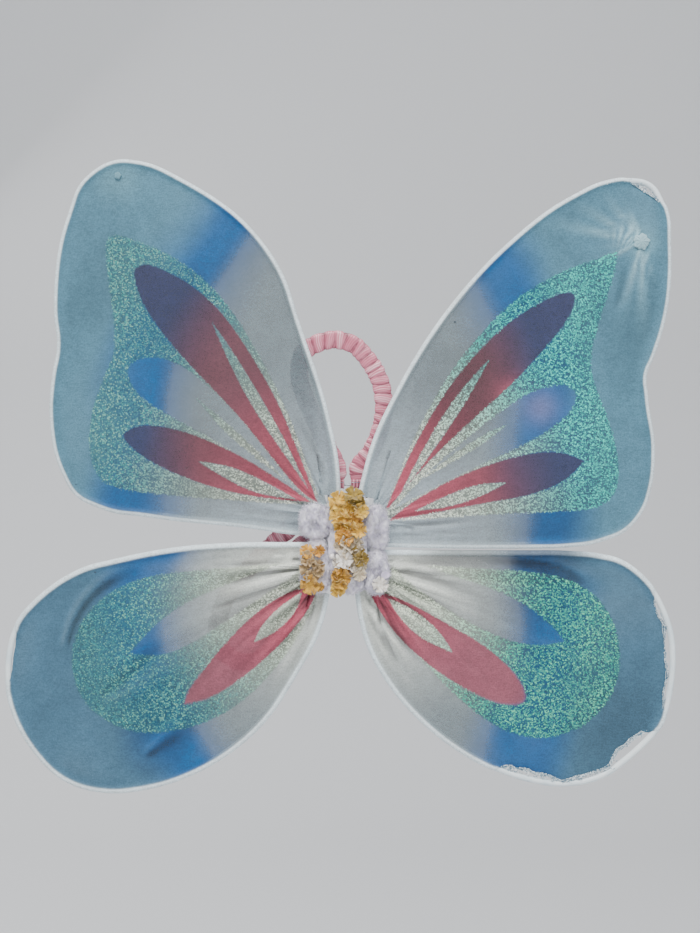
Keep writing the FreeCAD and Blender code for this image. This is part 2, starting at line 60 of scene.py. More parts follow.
WINGS = {"upper_left": -1, "upper_right": 1, "lower_left": -1, "lower_right": 1}    # side, along X
SLEEVE_RADIUS = 2.1 * MM
SOCK_RADIUS = 2.5 * MM          # outside of the nylon where it goes round the sleeve
WIRE_RADIUS = 0.8 * MM
ELASTIC_WIDTH = 8.6 * MM
AROUND = 440                    # columns of each sock, counted along its rim
HALF_GAP = 1.25 * MM            # from the middle of a sock to either layer, away from its rim
FREE_EDGE = 0.45 * MM           # the same at an edge that has slipped off its loop
LEAST_GAP = 0.3 * MM            # the same where a fold presses a layer inwards
RIM_BAND = 12 * MM              # how far in from the rim the rows of points run along it
BAND_STEPS = np.array([0.6, 1.2, 1.9, 2.7, 3.7, 5, 6.8, 9, 12]) * MM
ROOT_OVERHANG = 3 * MM          # the nylon at the root, drawn on towards the hub


# ----------------------------------------------------------------------- meshes and lines
def new_object(name, data):
    made = bpy.data.objects.new(name, data)
    bpy.context.scene.collection.objects.link(made)
    return made


def mesh_piece(name, points, faces, material):
    mesh = bpy.data.meshes.new(name)
    mesh.from_pydata(np.asarray(points, float).tolist(), [], [list(map(int, f)) for f in faces])
    mesh.polygons.foreach_set("use_smooth", [True] * len(mesh.polygons))
    mesh.materials.append(material)
    mesh.update()
    return new_object(name, mesh)


def grid_faces(rows, columns, first=0, close_columns=False, flip=False):
    """Quads of a grid whose points run row by row."""
    row = np.arange(rows - 1)[:, None]
    column = np.arange(columns if close_columns else columns - 1)[None, :]
    after = (column + 1) % columns
    a = first + row * columns + column
    b = first + row * columns + after
    c = b + columns
    d = a + columns
    quads = np.stack([a, b, c, d], axis=-1).reshape(-1, 4)
    return quads[:, ::-1] if flip else quads


def fan(first, count, centre, flip=False):
    """Triangles from a closed row of points to one middle point."""
    here = first + np.arange(count)
    after = first + (np.arange(count) + 1) % count
    faces = np.stack([here, after, np.full(count, centre)], axis=-1)
    return faces[:, ::-1] if flip else faces


def capped(points, rows, columns, start, end, flip=False):
    """A closed grid of points with a fan to one more point at either end."""
    count = rows * columns
    faces = [*grid_faces(rows, columns, close_columns=True, flip=flip),
             *fan(0, columns, count, flip=not flip),
             *fan(count - columns, columns, count + 1, flip=flip)]
    return np.vstack([points, [start], [end]]), faces


def two_sided(x, y, z, thick):
    """A disc of points in rings, given a thickness towards the front."""
    rings, sectors = x.shape
    count = x.size
    top, bottom = to_points(x, y - thick, z), to_points(x, np.minimum(y, 0.0), z)
    edge = count - sectors + np.arange(sectors)
    after = count - sectors + (np.arange(sectors) + 1) % sectors
    faces = [*grid_faces(rings, sectors, close_columns=True),
             *grid_faces(rings, sectors, count, close_columns=True, flip=True),
             *np.stack([edge, after, after + count, edge + count], axis=-1),
             *fan(0, sectors, 2 * count, flip=True), *fan(count, sectors, 2 * count + 1)]
    return np.vstack([top, bottom, [[0, -thick, 0], [0, 0, 0]]]), [f[::-1] for f in faces]


class Pile:
    """Meshes gathered into one piece."""

    def __init__(self):
        self.points, self.faces, self.count = [], [], 0

    def add(self, points, faces):
        self.faces += [[i + self.count for i in face] for face in faces]
        self.points.append(points)
        self.count += len(points)

    def piece(self, name, material):
        return mesh_piece(name, np.vstack(self.points), self.faces, material)


def paint(piece, name, values):
    """A number or a colour for every point of a piece."""
    values = np.asarray(values, np.float32)
    if values.ndim == 1:
        attribute = piece.data.attributes.new(name, "FLOAT", "POINT")
        attribute.data.foreach_set("value", values)
    else:
        attribute = piece.data.attributes.new(name, "FLOAT_COLOR", "POINT")
        full = np.ones((len(values), 4), np.float32)
        full[:, :3] = values
        attribute.data.foreach_set("color", full.ravel())


def full_turn(count):
    return np.linspace(0, 2 * math.pi, count, endpoint=False)


def norms(vectors):
    return np.linalg.norm(vectors, axis=1)


def nearest(points, spot):
    return int(np.argmin(norms(points - spot)))


def bell(value, width):
    return np.exp(-((value / width) ** 2))


def to_points(x, y, z):
    """A list of points from coordinates that may vary along rows, along columns or both."""
    return np.stack(np.broadcast_arrays(x, y, z), axis=-1).reshape(-1, 3)


def upright(flat, y):
    """Points (x, z) stood up in the frame at depth y."""
    return np.column_stack([flat[:, 0], np.broadcast_to(y, len(flat)), flat[:, 1]])


def mix(a, b, share):
    share = np.asarray(share, float)[..., None]
    return np.asarray(a, float) * (1 - share) + np.asarray(b, float) * share


def ease(value, low, high):
    """0 below low, 1 above high and a smooth step between them."""
    t = np.clip((value - low) / (high - low), 0, 1)
    return t * t * (3 - 2 * t)


def linear(red, green, blue):
    """A display colour, 0 to 255, as scene-linear light."""
    value = np.array([red, green, blue], float) / 255
    return np.where(value <= 0.04045, value / 12.92, ((value + 0.055) / 1.055) ** 2.4)


def squarish(value, power):
    """A sine or cosine drawn towards 1 and -1, so that a round turns boxy."""
    return np.sign(value) * np.abs(value) ** power


def waves(flat, shapes):
    return sum(np.sin(flat[:, 0] * a + flat[:, 1] * b + c) for a, b, c in shapes)


def lengths(line):
    """How far along a line each of its points lies."""
    steps = norms(np.diff(line, axis=0))
    return np.concatenate([[0.0], np.cumsum(steps)])


def resample(line, count):
    """Even steps along a smooth curve through the points."""
    line = np.asarray(line, float)
    keep = np.concatenate([[True], norms(np.diff(line, axis=0)) > 1e-6])
    line = line[keep]
    at = lengths(line)
    slope = np.gradient(line, at, axis=0)
    where = np.linspace(0, at[-1], count)
    k = np.clip(np.searchsorted(at, where, side="right") - 1, 0, len(at) - 2)
    span = (at[k + 1] - at[k])[:, None]
    t = (where - at[k])[:, None] / span
    return ((2 * t**3 - 3 * t**2 + 1) * line[k] + (t**3 - 2 * t**2 + t) * span * slope[k]
            + (3 * t**2 - 2 * t**3) * line[k + 1] + (t**3 - t**2) * span * slope[k + 1])


def closed_curve(knots):
    """Corners rounded off, but points sharper than about 70 degrees kept."""
    ring = []
    knots = np.asarray(knots, float)
    for before, here, after in zip(np.roll(knots, 1, axis=0), knots, np.roll(knots, -1, axis=0)):
        a, b = before - here, after - here
        sharp = a @ b / (np.linalg.norm(a) * np.linalg.norm(b)) > 0.34
        ring += [here] * (3 if sharp else 1)
    ring = np.array(ring)
    for _ in range(3):
        after = np.roll(ring, -1, axis=0)
        ring = np.stack([0.75 * ring + 0.25 * after, 0.25 * ring + 0.75 * after], axis=1)
        ring = ring.reshape(-1, 2)
    gap = norms(ring - np.roll(ring, 1, axis=0))
    return ring[gap > 1e-6]


def directions(line):
    step = np.gradient(line, axis=0)
    return step / norms(step)[:, None]


def distance_to(points, line, closed=False):
    """Distance from each point to a line of points, and how far along it is nearest."""
    ends = np.vstack([line, line[:1]]) if closed else line
    at = lengths(ends)
    best = np.full(len(points), 1e9)
    share = np.zeros(len(points))
    for k, (p, q) in enumerate(zip(ends, ends[1:])):
        d = q - p
        size2 = max(float(d @ d), 1e-18)
        t = np.clip(((points - p) @ d) / size2, 0, 1)
        gap = norms(points - p - t[:, None] * d)
        near = gap < best
        best = np.where(near, gap, best)
        share = np.where(near, (at[k] + t * (at[k + 1] - at[k])) / at[-1], share)
    return best, share


def inside(points, ring):
    """True for the points that a closed ring goes round."""
    x, z = points[:, 0], points[:, 1]
    result = np.zeros(len(points), bool)
    for p, q in zip(ring, np.roll(ring, -1, axis=0)):
        crosses = (p[1] > z) != (q[1] > z)
        slope = (q[0] - p[0]) / (q[1] - p[1]) if q[1] != p[1] else 0.0
        result ^= crosses & (x < p[0] + (z - p[1]) * slope)
    return result


def depth_in(points, ring):
    """Distance to a ring, positive inside it."""
    gap, _ = distance_to(points, ring, closed=True)
    return np.where(inside(points, ring), gap, -gap)


def left_of(line):
    along = directions(line)
    return np.stack([-along[:, 1], along[:, 0]], axis=1)


def front_ring(node):
    """The edge of a CAD node's flat front face, as a ring of (x, z) points."""
    mesh = NODES[node].data
    points = np.array([v.co for v in mesh.vertices])
    front = points[:, 1].min() + 1e-6
    edges = {}
    for polygon in mesh.polygons:
        corners = list(polygon.vertices)
        if any(points[c][1] > front for c in corners):
            continue
        keys = [(round(points[c][0], 6), round(points[c][2], 6)) for c in corners]
        for a, b in zip(keys, keys[1:] + keys[:1]):
            if a != b:
                edges[frozenset((a, b))] = edges.get(frozenset((a, b)), 0) + 1
    after = {}
    for edge, uses in edges.items():
        if uses == 1:
            a, b = tuple(edge)
            after.setdefault(a, []).append(b)
            after.setdefault(b, []).append(a)
    start = min(after)
    ring, last, here = [start], None, start
    while True:
        onward = [p for p in after[here] if p != last]
        last, here = here, onward[0]
        if here == start:
            break
        ring.append(here)
    return np.array(ring)


def box_of(node):
    low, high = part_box(node)
    return np.array(low), np.array(high)


def middle_of(node):
    low, high = box_of(node)
    return (low + high) / 2


def flat_middle(node):
    """The middle of a node's box as (x, z)."""
    return middle_of(node)[[0, 2]]


# ------------------------------------------------------------------------------ materials
class Tree:
    """Short calls for the nodes of one material."""

    def __init__(self, name):
        self.material = bpy.data.materials.new(name)
        self.material.use_nodes = True
        self.tree = self.material.node_tree
        self.shader = self.tree.nodes["Principled BSDF"]
        self.place = self.tree.nodes.new("ShaderNodeTexCoord").outputs["Object"]

    def feed(self, socket, value):
        """A link or a value. A tuple for a colour is a display colour, an array is light."""
        if isinstance(value, bpy.types.NodeSocket):
            self.tree.links.new(value, socket)
        elif socket.type == "RGBA":
            light = linear(*value) if isinstance(value, tuple) else value
            socket.default_value = (*map(float, light), 1.0)
        else:
            socket.default_value = value

    def node(self, kind, **inputs):
        made = self.tree.nodes.new("ShaderNode" + kind)
        for key, value in inputs.items():
            self.feed(made.inputs[key.replace("_", " ")], value)
        return made

    def set(self, **inputs):
        for key, value in inputs.items():
            self.feed(self.shader.inputs[key.replace("_", " ")], value)

    def math(self, operation, a, b):
        made = self.node("Math")
        made.operation = operation
        self.feed(made.inputs[0], a)
        self.feed(made.inputs[1], b)
        return made.outputs[0]

    def add(self, a, b):
        return self.math("ADD", a, b)

    def times(self, a, b):
        return self.math("MULTIPLY", a, b)

    def step(self, value, low, high, to_low=0.0, to_high=1.0):
        made = self.node("MapRange")
        made.interpolation_type = "SMOOTHSTEP"
        for socket, given in zip(made.inputs, (value, low, high, to_low, to_high)):
            self.feed(socket, given)
        return made.outputs[0]

    def blend(self, share, a, b, kind="MIX"):
        made = self.node("Mix")
        made.data_type = "RGBA"
        made.blend_type = kind
        for socket, value in ((0, share), (6, a), (7, b)):
            self.feed(made.inputs[socket], value)
        return made.outputs[2]

    def attribute(self, name, output="Fac"):
        made = self.node("Attribute")
        made.attribute_name = name
        return made.outputs[output]

    def noise(self, scale, detail=2.0, roughness=0.5, place=None):
        return self.node("TexNoise", Vector=place or self.place, Scale=scale, Detail=detail,
                         Roughness=roughness).outputs["Fac"]

    def weave(self, scale, distortion, **inputs):
        return self.node("TexWave", Vector=self.place, Scale=scale, Distortion=distortion,
                         **inputs).outputs["Fac"]

    def bump(self, height, strength, distance):
        return self.node("Bump", Height=height, Strength=strength,
                         Distance=distance).outputs["Normal"]


def felt_material(name, tone, dark):
    """Pressed felt: blotches of a darker tone and a mat of short, lighter fibres."""
    t = Tree(name)
    blotch = t.noise(420.0, 3.0, 0.6)
    fibre = t.noise(2600.0, 4.0, 0.75)
    base = t.blend(t.step(blotch, 0.35, 0.7), dark, tone)
    base = t.blend(t.step(fibre, 0.45, 0.7), base, np.minimum(linear(*tone) * 1.25, 1))
    t.set(Base_Color=base, Roughness=0.93, Sheen_Weight=0.5, Sheen_Roughness=0.5,
          Normal=t.bump(t.add(t.times(blotch, 0.6), fibre), 0.55, 0.0005))
    return t.material


def plush_material():
    """Brushed plush: soft clumps with a fine pile."""
    t = Tree("lavender_plush")
    clump = t.noise(330.0, 3.0, 0.55)
    pile = t.noise(3000.0, 5.0, 0.8)
    base = t.blend(t.step(clump, 0.32, 0.68), (216, 210, 230), (244, 242, 250))
    base = t.blend(t.step(pile, 0.5, 0.8, 0.0, 0.6), base, (252, 250, 255))
    t.set(Base_Color=base, Roughness=0.95, Sheen_Weight=0.8, Sheen_Roughness=0.45,
          Normal=t.bump(t.add(clump, t.times(pile, 0.7)), 0.6, 0.0006))
    return t.material


def satin_material():
    """Pink satin: painted whitish highlight where the gathers stand up, painted shade of deeper rose in
    the valleys.
    """
    t = Tree("pink_satin")
    crest = t.attribute("crest")
    weave = t.weave(900.0, 1.5)
    base = t.blend(t.step(crest, 0.1, 0.72), (112, 44, 62), (200, 112, 132))
    base = t.blend(t.step(crest, 0.7, 1.0, 0.0, 0.75), base, (240, 206, 212))
    base = t.blend(t.step(t.noise(140.0), 0.4, 0.75, 0.0, 0.35), base, (214, 146, 162))
    t.set(Base_Color=base, Roughness=t.step(weave, 0.0, 1.0, 0.3, 0.42), Sheen_Weight=0.4,
          Sheen_Roughness=0.3, Anisotropic=0.5, Specular_IOR_Level=0.6,
          Normal=t.bump(weave, 0.12, 0.0002))
    return t.material


def tape_material():
    t = Tree("white_tape")
    soil = t.step(t.noise(120.0, 4.0, 0.6), 0.4, 0.75)
    t.set(Base_Color=t.blend(soil, (226, 227, 224), (200, 200, 198)), Roughness=0.85,
          Normal=t.bump(t.weave(700.0, 0.6), 0.35, 0.0003))
    return t.material


def elastic_material():
    t = Tree("white_elastic")
    rib = t.weave(450.0, 0.2)
    t.set(Base_Color=t.blend(rib, (205, 205, 200), (235, 235, 230)), Roughness=0.8,
          Normal=t.bump(rib, 0.5, 0.0004))
    return t.material


def sleeving_material():
    """White plastic tube, faintly blue, a little scuffed."""
    t = Tree("white_sleeving")
    scuff = t.noise(900.0, 4.0, 0.65)
    base = t.blend(t.step(t.noise(60.0), 0.35, 0.7), (226, 234, 236), (206, 220, 226))
    base = t.blend(t.step(scuff, 0.66, 0.8, 0.0, 0.35), base, (178, 190, 196))
    t.set(Base_Color=base, Roughness=t.step(scuff, 0.3, 0.8, 0.38, 0.6),
          Normal=t.bump(scuff, 0.15, 0.0002))
    return t.material


def steel_material():
    t = Tree("steel_wire")
    drawn = t.noise(1500.0, 3.0, 0.6)
    t.set(Base_Color=t.blend(drawn, (120, 122, 126), (196, 198, 202)), Metallic=1.0,
          Roughness=t.step(drawn, 0.2, 0.8, 0.22, 0.42), Normal=t.bump(drawn, 0.1, 0.0001))
    return t.material


def pearl_material():
    t = Tree("pearl")
    swirl = t.noise(260.0)
    t.set(Base_Color=t.blend(swirl, (236, 226, 214), (250, 246, 250)), Coat_Weight=0.8,
          Roughness=t.step(swirl, 0.2, 0.8, 0.16, 0.26), Sheen_Weight=0.3)
    return t.material


def thread_material():
    t = Tree("frayed_thread")
    tone = t.step(t.noise(800.0), 0.4, 0.6)
    t.set(Base_Color=t.blend(tone, (104, 140, 160), (232, 240, 242)), Roughness=0.7)
    return t.material


def two_tone(name, scale, dark, light, **shading):
    """A plain material that wanders between two tones."""
    t = Tree(name)
    t.set(Base_Color=t.blend(t.noise(scale), dark, light), **shading)
    return t.material


def nylon_material(wing):
    """Sheer printed knit. The print's soft colours, with the painted shade and highlight of the folds,
    come with the mesh; the crisp edges of petals and glitter are drawn where their painted depths cross
    zero."""
    first_hue, second_hue, strength = SPARKLE[wing]
    t = Tree(wing + "_printed_nylon")
    knit = t.weave(420.0, 3.0, Detail=1.0)
    grain = t.noise(1100.0, 3.0, 0.7)
    drawn_out = t.node("Mapping", Vector=t.place, Scale=(1.0, 1.0, 3.5)).outputs[0]
    wisp = t.noise(260.0, 4.0, 0.7, drawn_out)

    ragged = t.times(t.math("SUBTRACT", t.noise(620.0, 1.0), 0.5), 1.1)
    petal = t.math("DIVIDE", t.add(t.attribute("petal_depth"), ragged),
                   t.add(t.attribute("soft_edge"), 0.5))
    petal = t.step(petal, -1.0, 1.0)
    wobble = t.times(t.math("SUBTRACT", t.noise(900.0, 2.0, 0.6), 0.5), 5.0)
    glitter = t.step(t.add(t.attribute("glitter_depth"), wobble), -0.3, 0.6)

    printed = t.blend(petal, t.attribute("ground", "Color"), t.attribute("petal_tone", "Color"))
    mottle = t.add(t.add(t.times(grain, 0.5), t.times(wisp, 0.3)),
                   t.times(t.noise(95.0, 3.0, 0.6), 0.2))
    printed = t.blend(1.0, printed, t.step(mottle, 0.32, 0.68, 0.7, 1.34), "MULTIPLY")
    film = t.blend(t.times(glitter, 0.85), printed, t.attribute("film_tone", "Color"))

    flakes = t.node("TexVoronoi", Vector=t.place, Scale=1180.0)
    chance = t.node("SeparateColor", Color=flakes.outputs["Color"])
    fleck, hue, third = chance.outputs[:3]
    mint = t.blend(t.step(hue, 0.3, 0.8), first_hue, second_hue)
    mint = t.blend(t.attribute("root_share"), mint, (236, 238, 218))
    flare = t.step(t.noise(38.0), 0.35, 0.65, 0.62, 1.15)
    lit = t.times(t.step(fleck, 0.3, 1.0), t.step(flakes.outputs["Distance"], 1.15, 0.3))
    lit = t.times(t.times(t.times(lit, glitter), flare), strength)
    lit = t.math("MINIMUM", lit, 1.0)
    dim = t.times(t.times(t.step(third, 0.62, 0.95, 0.0, 0.5), glitter),
                  t.math("SUBTRACT", 1.0, t.attribute("root_share")))
    shown = t.blend(lit, t.blend(dim, film, (38, 62, 66)), mint)

    cover = t.math("MAXIMUM", t.step(petal, 0.0, 1.0, 0.64, 0.86),
                   t.step(glitter, 0.0, 1.0, 0.64, 0.92))
    cover = t.math("MAXIMUM", cover, t.attribute("dense"))
    cover = t.times(cover, t.step(grain, 0.25, 0.6, 0.93, 1.0))
    height = t.add(t.add(t.times(knit, 0.2), t.times(grain, 0.5)),
                   t.times(t.times(fleck, glitter), 1.2))
    t.set(Base_Color=shown, Alpha=cover, Roughness=t.step(lit, 0.0, 1.0, 0.6, 0.24),
          Specular_IOR_Level=t.step(lit, 0.0, 1.0, 0.3, 0.9),
          Normal=t.bump(height, 0.4, 0.0004))
    return t.material


TAPE = tape_material()
ELASTIC = elastic_material()
SLEEVING = sleeving_material()
STEEL = steel_material()
PEARL = pearl_material()
SATIN = satin_material()
THREAD = thread_material()
PLUSH = plush_material()
WHITE_FELT = felt_material("white_felt", (226, 226, 230), (204, 204, 210))
GOLD = felt_material("gold_felt", (244, 202, 92), (190, 140, 46))
DEEP_GOLD = felt_material("deep_gold_felt", (216, 168, 66), (148, 102, 32))
ORANGE = felt_material("orange_felt", (240, 184, 76), (184, 120, 36))
OLIVE = felt_material("olive_felt", (172, 142, 56), (114, 92, 34))
CREAM = felt_material("cream_felt", (238, 224, 198), (178, 154, 122))
TAN = felt_material("tan_felt", (208, 182, 136), (152, 122, 82))
IVORY = felt_material("ivory_felt", (246, 241, 232), (196, 184, 168))


# -------------------------------------------------------------------------- printed design
# Each wing's print, in percent of its sock's box: outwards from the hub, then upwards.
# glitter is the glittered field; petals are rose petals; clear are glitter-free petals that
# show the ground; slits are slivers of glitter inside petals; band is the middle line of
# the saturated blue dye.
PRINT = {
    "upper_left": {
        "glitter": [
            (80.6, 80.7), (70.6, 78.6), (56.9, 74.3), (42.1, 65.3), (28.4, 49.3), (16.7, 30.7),
            (9.8, 15.3), (6.3, 8.6), (13.9, 8.2), (34.5, 9.2), (56.9, 10.5), (75.8, 12.1), (84, 15.3),
            (86.8, 24.1), (85.1, 34.7), (79.9, 44.6), (77.2, 48.8), (78.2, 60), (80.6, 72)
        ],
        "petals": [
            [(71.6, 70.6), (68, 72.2), (63.8, 71.7), (51.7, 67.2), (40.7, 59.5), (30.4, 48),
             (20.8, 34.7), (13.9, 21.4), (7.7, 8.6), (13.9, 11.6), (24.2, 21.4), (35.2, 32.1),
             (48.3, 42.4), (61, 53.3), (68.9, 62.6)],
            [(75.6, 26.2), (72.5, 28.4), (67.2, 29.6), (57.9, 28.6), (46.6, 25.9), (32.8, 20.6),
             (20.8, 14.8), (9.8, 8.9), (24.2, 9.6), (41.4, 12.1), (56.9, 16.4), (68.2, 20.9)],
        ],
        "clear": [
            [(73.7, 44.6), (68.2, 47.5), (58.6, 47), (48.3, 41.9), (36.3, 32.9), (24.9, 22.2),
             (13.9, 10.8), (27, 17.4), (43.1, 25.4), (55.9, 30.7), (66.5, 35.5), (71.5, 39.5)],
        ],
        "slits": [
            [(44.2, 56.8), (37.3, 49.3), (28.4, 38.2), (19.1, 25.4), (11.2, 12.6), (17.3, 19.6),
             (27, 30.2), (36.3, 42.7)],
            [(49, 19.8), (38, 18.5), (27, 14.8), (15.3, 9.7), (28.4, 11), (39.7, 15.3)],
            [(49.7, 36.6), (39.7, 30.7), (29.4, 23.3), (17.3, 13.7), (31.1, 21.7), (41.4, 28.6)],
        ],
        "band": [
            (27, 95), (34.5, 84), (44, 74), (53, 63), (61, 51), (66.5, 38.7), (67.2, 25.4),
            (68.9, 14.8), (72, 0)
        ],
    },
    "upper_right": {
        "glitter": [
            (83, 80.2), (77.3, 78.3), (64.5, 74.6), (51.8, 68.4), (40.6, 59.5), (31.1, 49.5),
            (23.1, 38.8), (16.1, 26.6), (9.7, 13.2), (7.2, 7.8), (19.9, 7.8), (39, 9.1), (58.1, 9.7),
            (75.7, 10.5), (82, 14), (83.6, 21.3), (81.1, 32), (77.3, 40.1), (74.1, 47.6), (74.7, 54.9),
            (78.2, 64.3), (81.3, 72.4)
        ],
        "petals": [
            [(69.8, 68.4), (66.5, 69.2), (61.3, 67.8), (50.2, 62.5), (39.7, 54.4), (30.1, 45),
             (21.5, 33.4), (14.2, 21.3), (8.1, 9.1), (16.7, 18), (26.3, 26.6), (38.4, 36.1), (50.2, 45),
             (60.7, 54.9), (67.7, 62.2)],
            [(72.2, 23.7), (64.5, 26.3), (55, 25.8), (42.8, 23.1), (29.5, 18.6), (16.7, 12.4),
             (9.7, 7.5), (23.1, 9.4), (39, 12.1), (55, 14.3), (66.1, 18)],
        ],
        "clear": [
            [(69.9, 41.3), (67.6, 43.5), (64.5, 44.3), (55, 42.3), (45.4, 36.9), (34.2, 29.3),
             (21.5, 19.9), (11.9, 11), (23.1, 15.9), (39, 22.6), (55, 28.8), (65.2, 34.6), (69, 38.5)],
        ],
        "slits": [
            [(41.9, 50.9), (36.2, 46), (27.9, 36.9), (19.9, 25.3), (13.5, 14.5), (21.5, 23.4),
             (30.8, 34.6), (37.6, 44.2)],
            [(47.3, 17.8), (39, 17.5), (29.5, 14.8), (18.3, 10.2), (29.5, 11.3), (39.7, 14.3)],
            [(47.9, 33.6), (39, 30.4), (29.5, 25), (19.3, 18), (29.5, 22.9), (39.7, 28)],
        ],
        "band": [
            (27, 97), (37, 82), (46, 70.5), (53, 58), (57.5, 43), (59, 29.3), (60, 15.9), (61, 0)
        ],
    },
    "lower_left": {
        "glitter": [
            (4.5, 86.9), (12.2, 92), (24.5, 90.5), (39.9, 88.9), (55.3, 87), (67.6, 80.9), (76.8, 69),
            (79.9, 55), (77.5, 39.1), (69.1, 28.3), (56.8, 23.2), (41.4, 26), (27.6, 35.1), (16.8, 49),
            (9.1, 63), (3.5, 76.9)
        ],
        "petals": [
            [(44.9, 35.1), (43.8, 40.5), (40.8, 45.9), (33.1, 58.6), (22.9, 72.1), (12.2, 80.9),
             (3.5, 82.5), (5.4, 74.9), (12.2, 63), (22.9, 49.8), (35.3, 38.3)],
        ],
        "clear": [
            [(61.2, 56), (55.3, 65), (46, 74.9), (32.2, 82.9), (19.9, 88.9), (8.5, 94.4), (9.1, 88.1),
             (20.8, 78.5), (32.2, 68.2), (44.5, 58), (53.7, 54.4)],
        ],
        "slits": [
            [(23.2, 60.2), (20.8, 67), (15.2, 74.5), (8.5, 80.1), (10.3, 72.1), (16.5, 64.2)],
        ],
        "band": [
            (49, 104), (54, 88), (56.5, 72), (56, 56), (52, 40), (47, 24), (41, 10), (37, -4)
        ],
    },
    "lower_right": {
        "glitter": [
            (5.5, 82.9), (11.7, 94.6), (23.6, 93.4), (39.2, 92.1), (54.8, 91), (68.9, 87.1),
            (78.3, 76.6), (82.6, 61.9), (82.3, 45), (76.7, 31.6), (67.3, 22.7), (56.4, 20.1),
            (45.5, 24), (34.5, 34.5), (23.6, 49.2), (14.2, 64), (8, 76.6)
        ],
        "petals": [
            [(53.2, 34.8), (53.2, 41.7), (48, 51.3), (39.2, 61), (29.8, 68.2), (18.9, 76.6), (9.5, 82),
             (4.2, 82.9), (8, 73.6), (14.2, 61.9), (25.1, 49.2), (36.1, 40), (45.5, 34.5)],
        ],
        "clear": [
            [(65.2, 61.5), (60.5, 69.4), (51.1, 78.7), (40.8, 84.6), (29.8, 89.2), (18.9, 94.6),
             (10.5, 97.2), (13.6, 90.4), (23.6, 79.5), (34.5, 70.3), (45.5, 62.7), (56.4, 59.4)],
        ],
        "slits": [
            [(30.5, 56.8), (26.7, 65.2), (18.9, 74.5), (10.5, 79.5), (14.2, 71.1), (20.5, 62.7)],
        ],
        "band": [
            (53, 106), (56, 90), (58.5, 74), (57.5, 58), (55, 42), (52, 26), (50, 12), (48, -4)
        ],
    },
}
# Folds in the front layer: start, bend and end in percent, width and height in mm.
FOLDS = {
    "upper_left": [
        ((3, 1.8), (24, 2.4), (50, 3.6), 1.8, 1.0), ((3, 3.4), (22, 4.4), (46, 6.0), 2.0, 1.2),
        ((3, 5.2), (18, 6.6), (36, 9), 2.0, 1.0), ((3, 7.4), (13, 9.4), (26, 12), 1.8, 0.7),
        ((2, 12), (7, 26), (12, 46), 4.0, 0.35), ((3, 16), (9, 26), (17, 40), 3.0, 0.3)
    ],
    "upper_right": [
        ((2, 2.4), (22, 3.0), (48, 4.2), 1.8, 1.0), ((2, 4.2), (20, 5.2), (44, 6.6), 2.0, 1.1),
        ((2, 6.2), (16, 7.8), (34, 9.4), 2.0, 0.8), ((1, 14), (5, 26), (12, 46), 4.6, 0.3),
        ((83, 64), (88, 72), (88.5, 80), 3.4, 0.5)
    ],
    "lower_left": [
        ((3, 97.6), (22, 97), (50, 95), 2.4, 1.2), ((3, 95), (20, 94.4), (42, 92), 2.6, 1.7),
        ((3, 92), (20, 90), (44, 86), 3.4, 1.9), ((2, 89.5), (16, 85), (40, 77), 4.2, 2.6),
        ((3, 86.5), (14, 81), (33, 72), 2.6, 1.4), ((3, 83), (12, 76), (28, 62), 2.6, 1.3),
        ((3, 79), (10, 68), (24, 50), 2.4, 1.2), ((2, 75), (7, 62), (19, 42), 2.4, 1.1),
        ((1, 71), (5, 56), (15, 36), 2.2, 1.0), ((81, 56), (78, 84), (52, 92), 3.6, -0.8),
        ((57, 14), (50, 20), (42, 27), 4.2, -0.6), ((70, 36), (56, 44), (44, 62), 6.0, 0.7)
    ],
    "lower_right": [
        ((4, 99), (22, 98.4), (52, 97.4), 2.2, 1.0), ((4, 97), (20, 96.6), (44, 95.2), 2.6, 1.8),
        ((4, 94.6), (20, 93), (40, 88), 3.6, 2.2), ((4, 92), (18, 87), (40, 76), 3.8, 2.2),
        ((4, 89), (16, 81), (33, 68), 3.4, 2.0), ((3, 85.5), (12, 76), (26, 62), 2.8, 1.4),
        ((2, 81), (9, 66), (22, 46), 2.4, 1.3), ((1, 77), (7, 60), (18, 40), 2.4, 1.1),
        ((1, 73), (5, 54), (14, 36), 2.2, 0.9), ((40, 96), (62, 96), (76, 82), 4.0, -1.5)
    ],
}
# Where the sock has slipped off its loop: from, to (percent), how far in (mm).
SLIPS = {
    "lower_right": [((93, 79), (96, 68), 4.2), ((97, 66), (98, 48), 5.4), ((98, 48), (96, 34), 3.8),
                    ((91, 23), (79, 12), 8.6), ((77, 11), (66, 7), 4.6), ((63, 7), (47, 9), 5.6)],
    "upper_right": [((88, 98), (94, 94), 4.6)],
    "lower_left": [((98, 64), (98.5, 46), 3.4)],
}
KNOTS = {"upper_left": 15.0 * MM, "upper_right": 10.0 * MM}      # reach of the drawn-in nylon
SPARKLE = {     # two glitter hues, and how strongly the flecks show
    "upper_left": ((46, 154, 148), (136, 202, 178), 0.88),
    "upper_right": ((0, 170, 158), (48, 228, 206), 1.7),
    "lower_left": ((28, 146, 146), (124, 202, 172), 0.88),
    "lower_right": ((10, 164, 140), (92, 212, 166), 1.5),
}
DYE_BLUE = linear(8, 82, 136)
PALE = linear(98, 114, 120)
RIM = linear(224, 236, 240)
ROSE_ROOT = linear(168, 72, 90)
MAUVE = linear(40, 52, 86)
FILM_LEFT = linear(34, 88, 100)
FILM_RIGHT = linear(12, 68, 82)
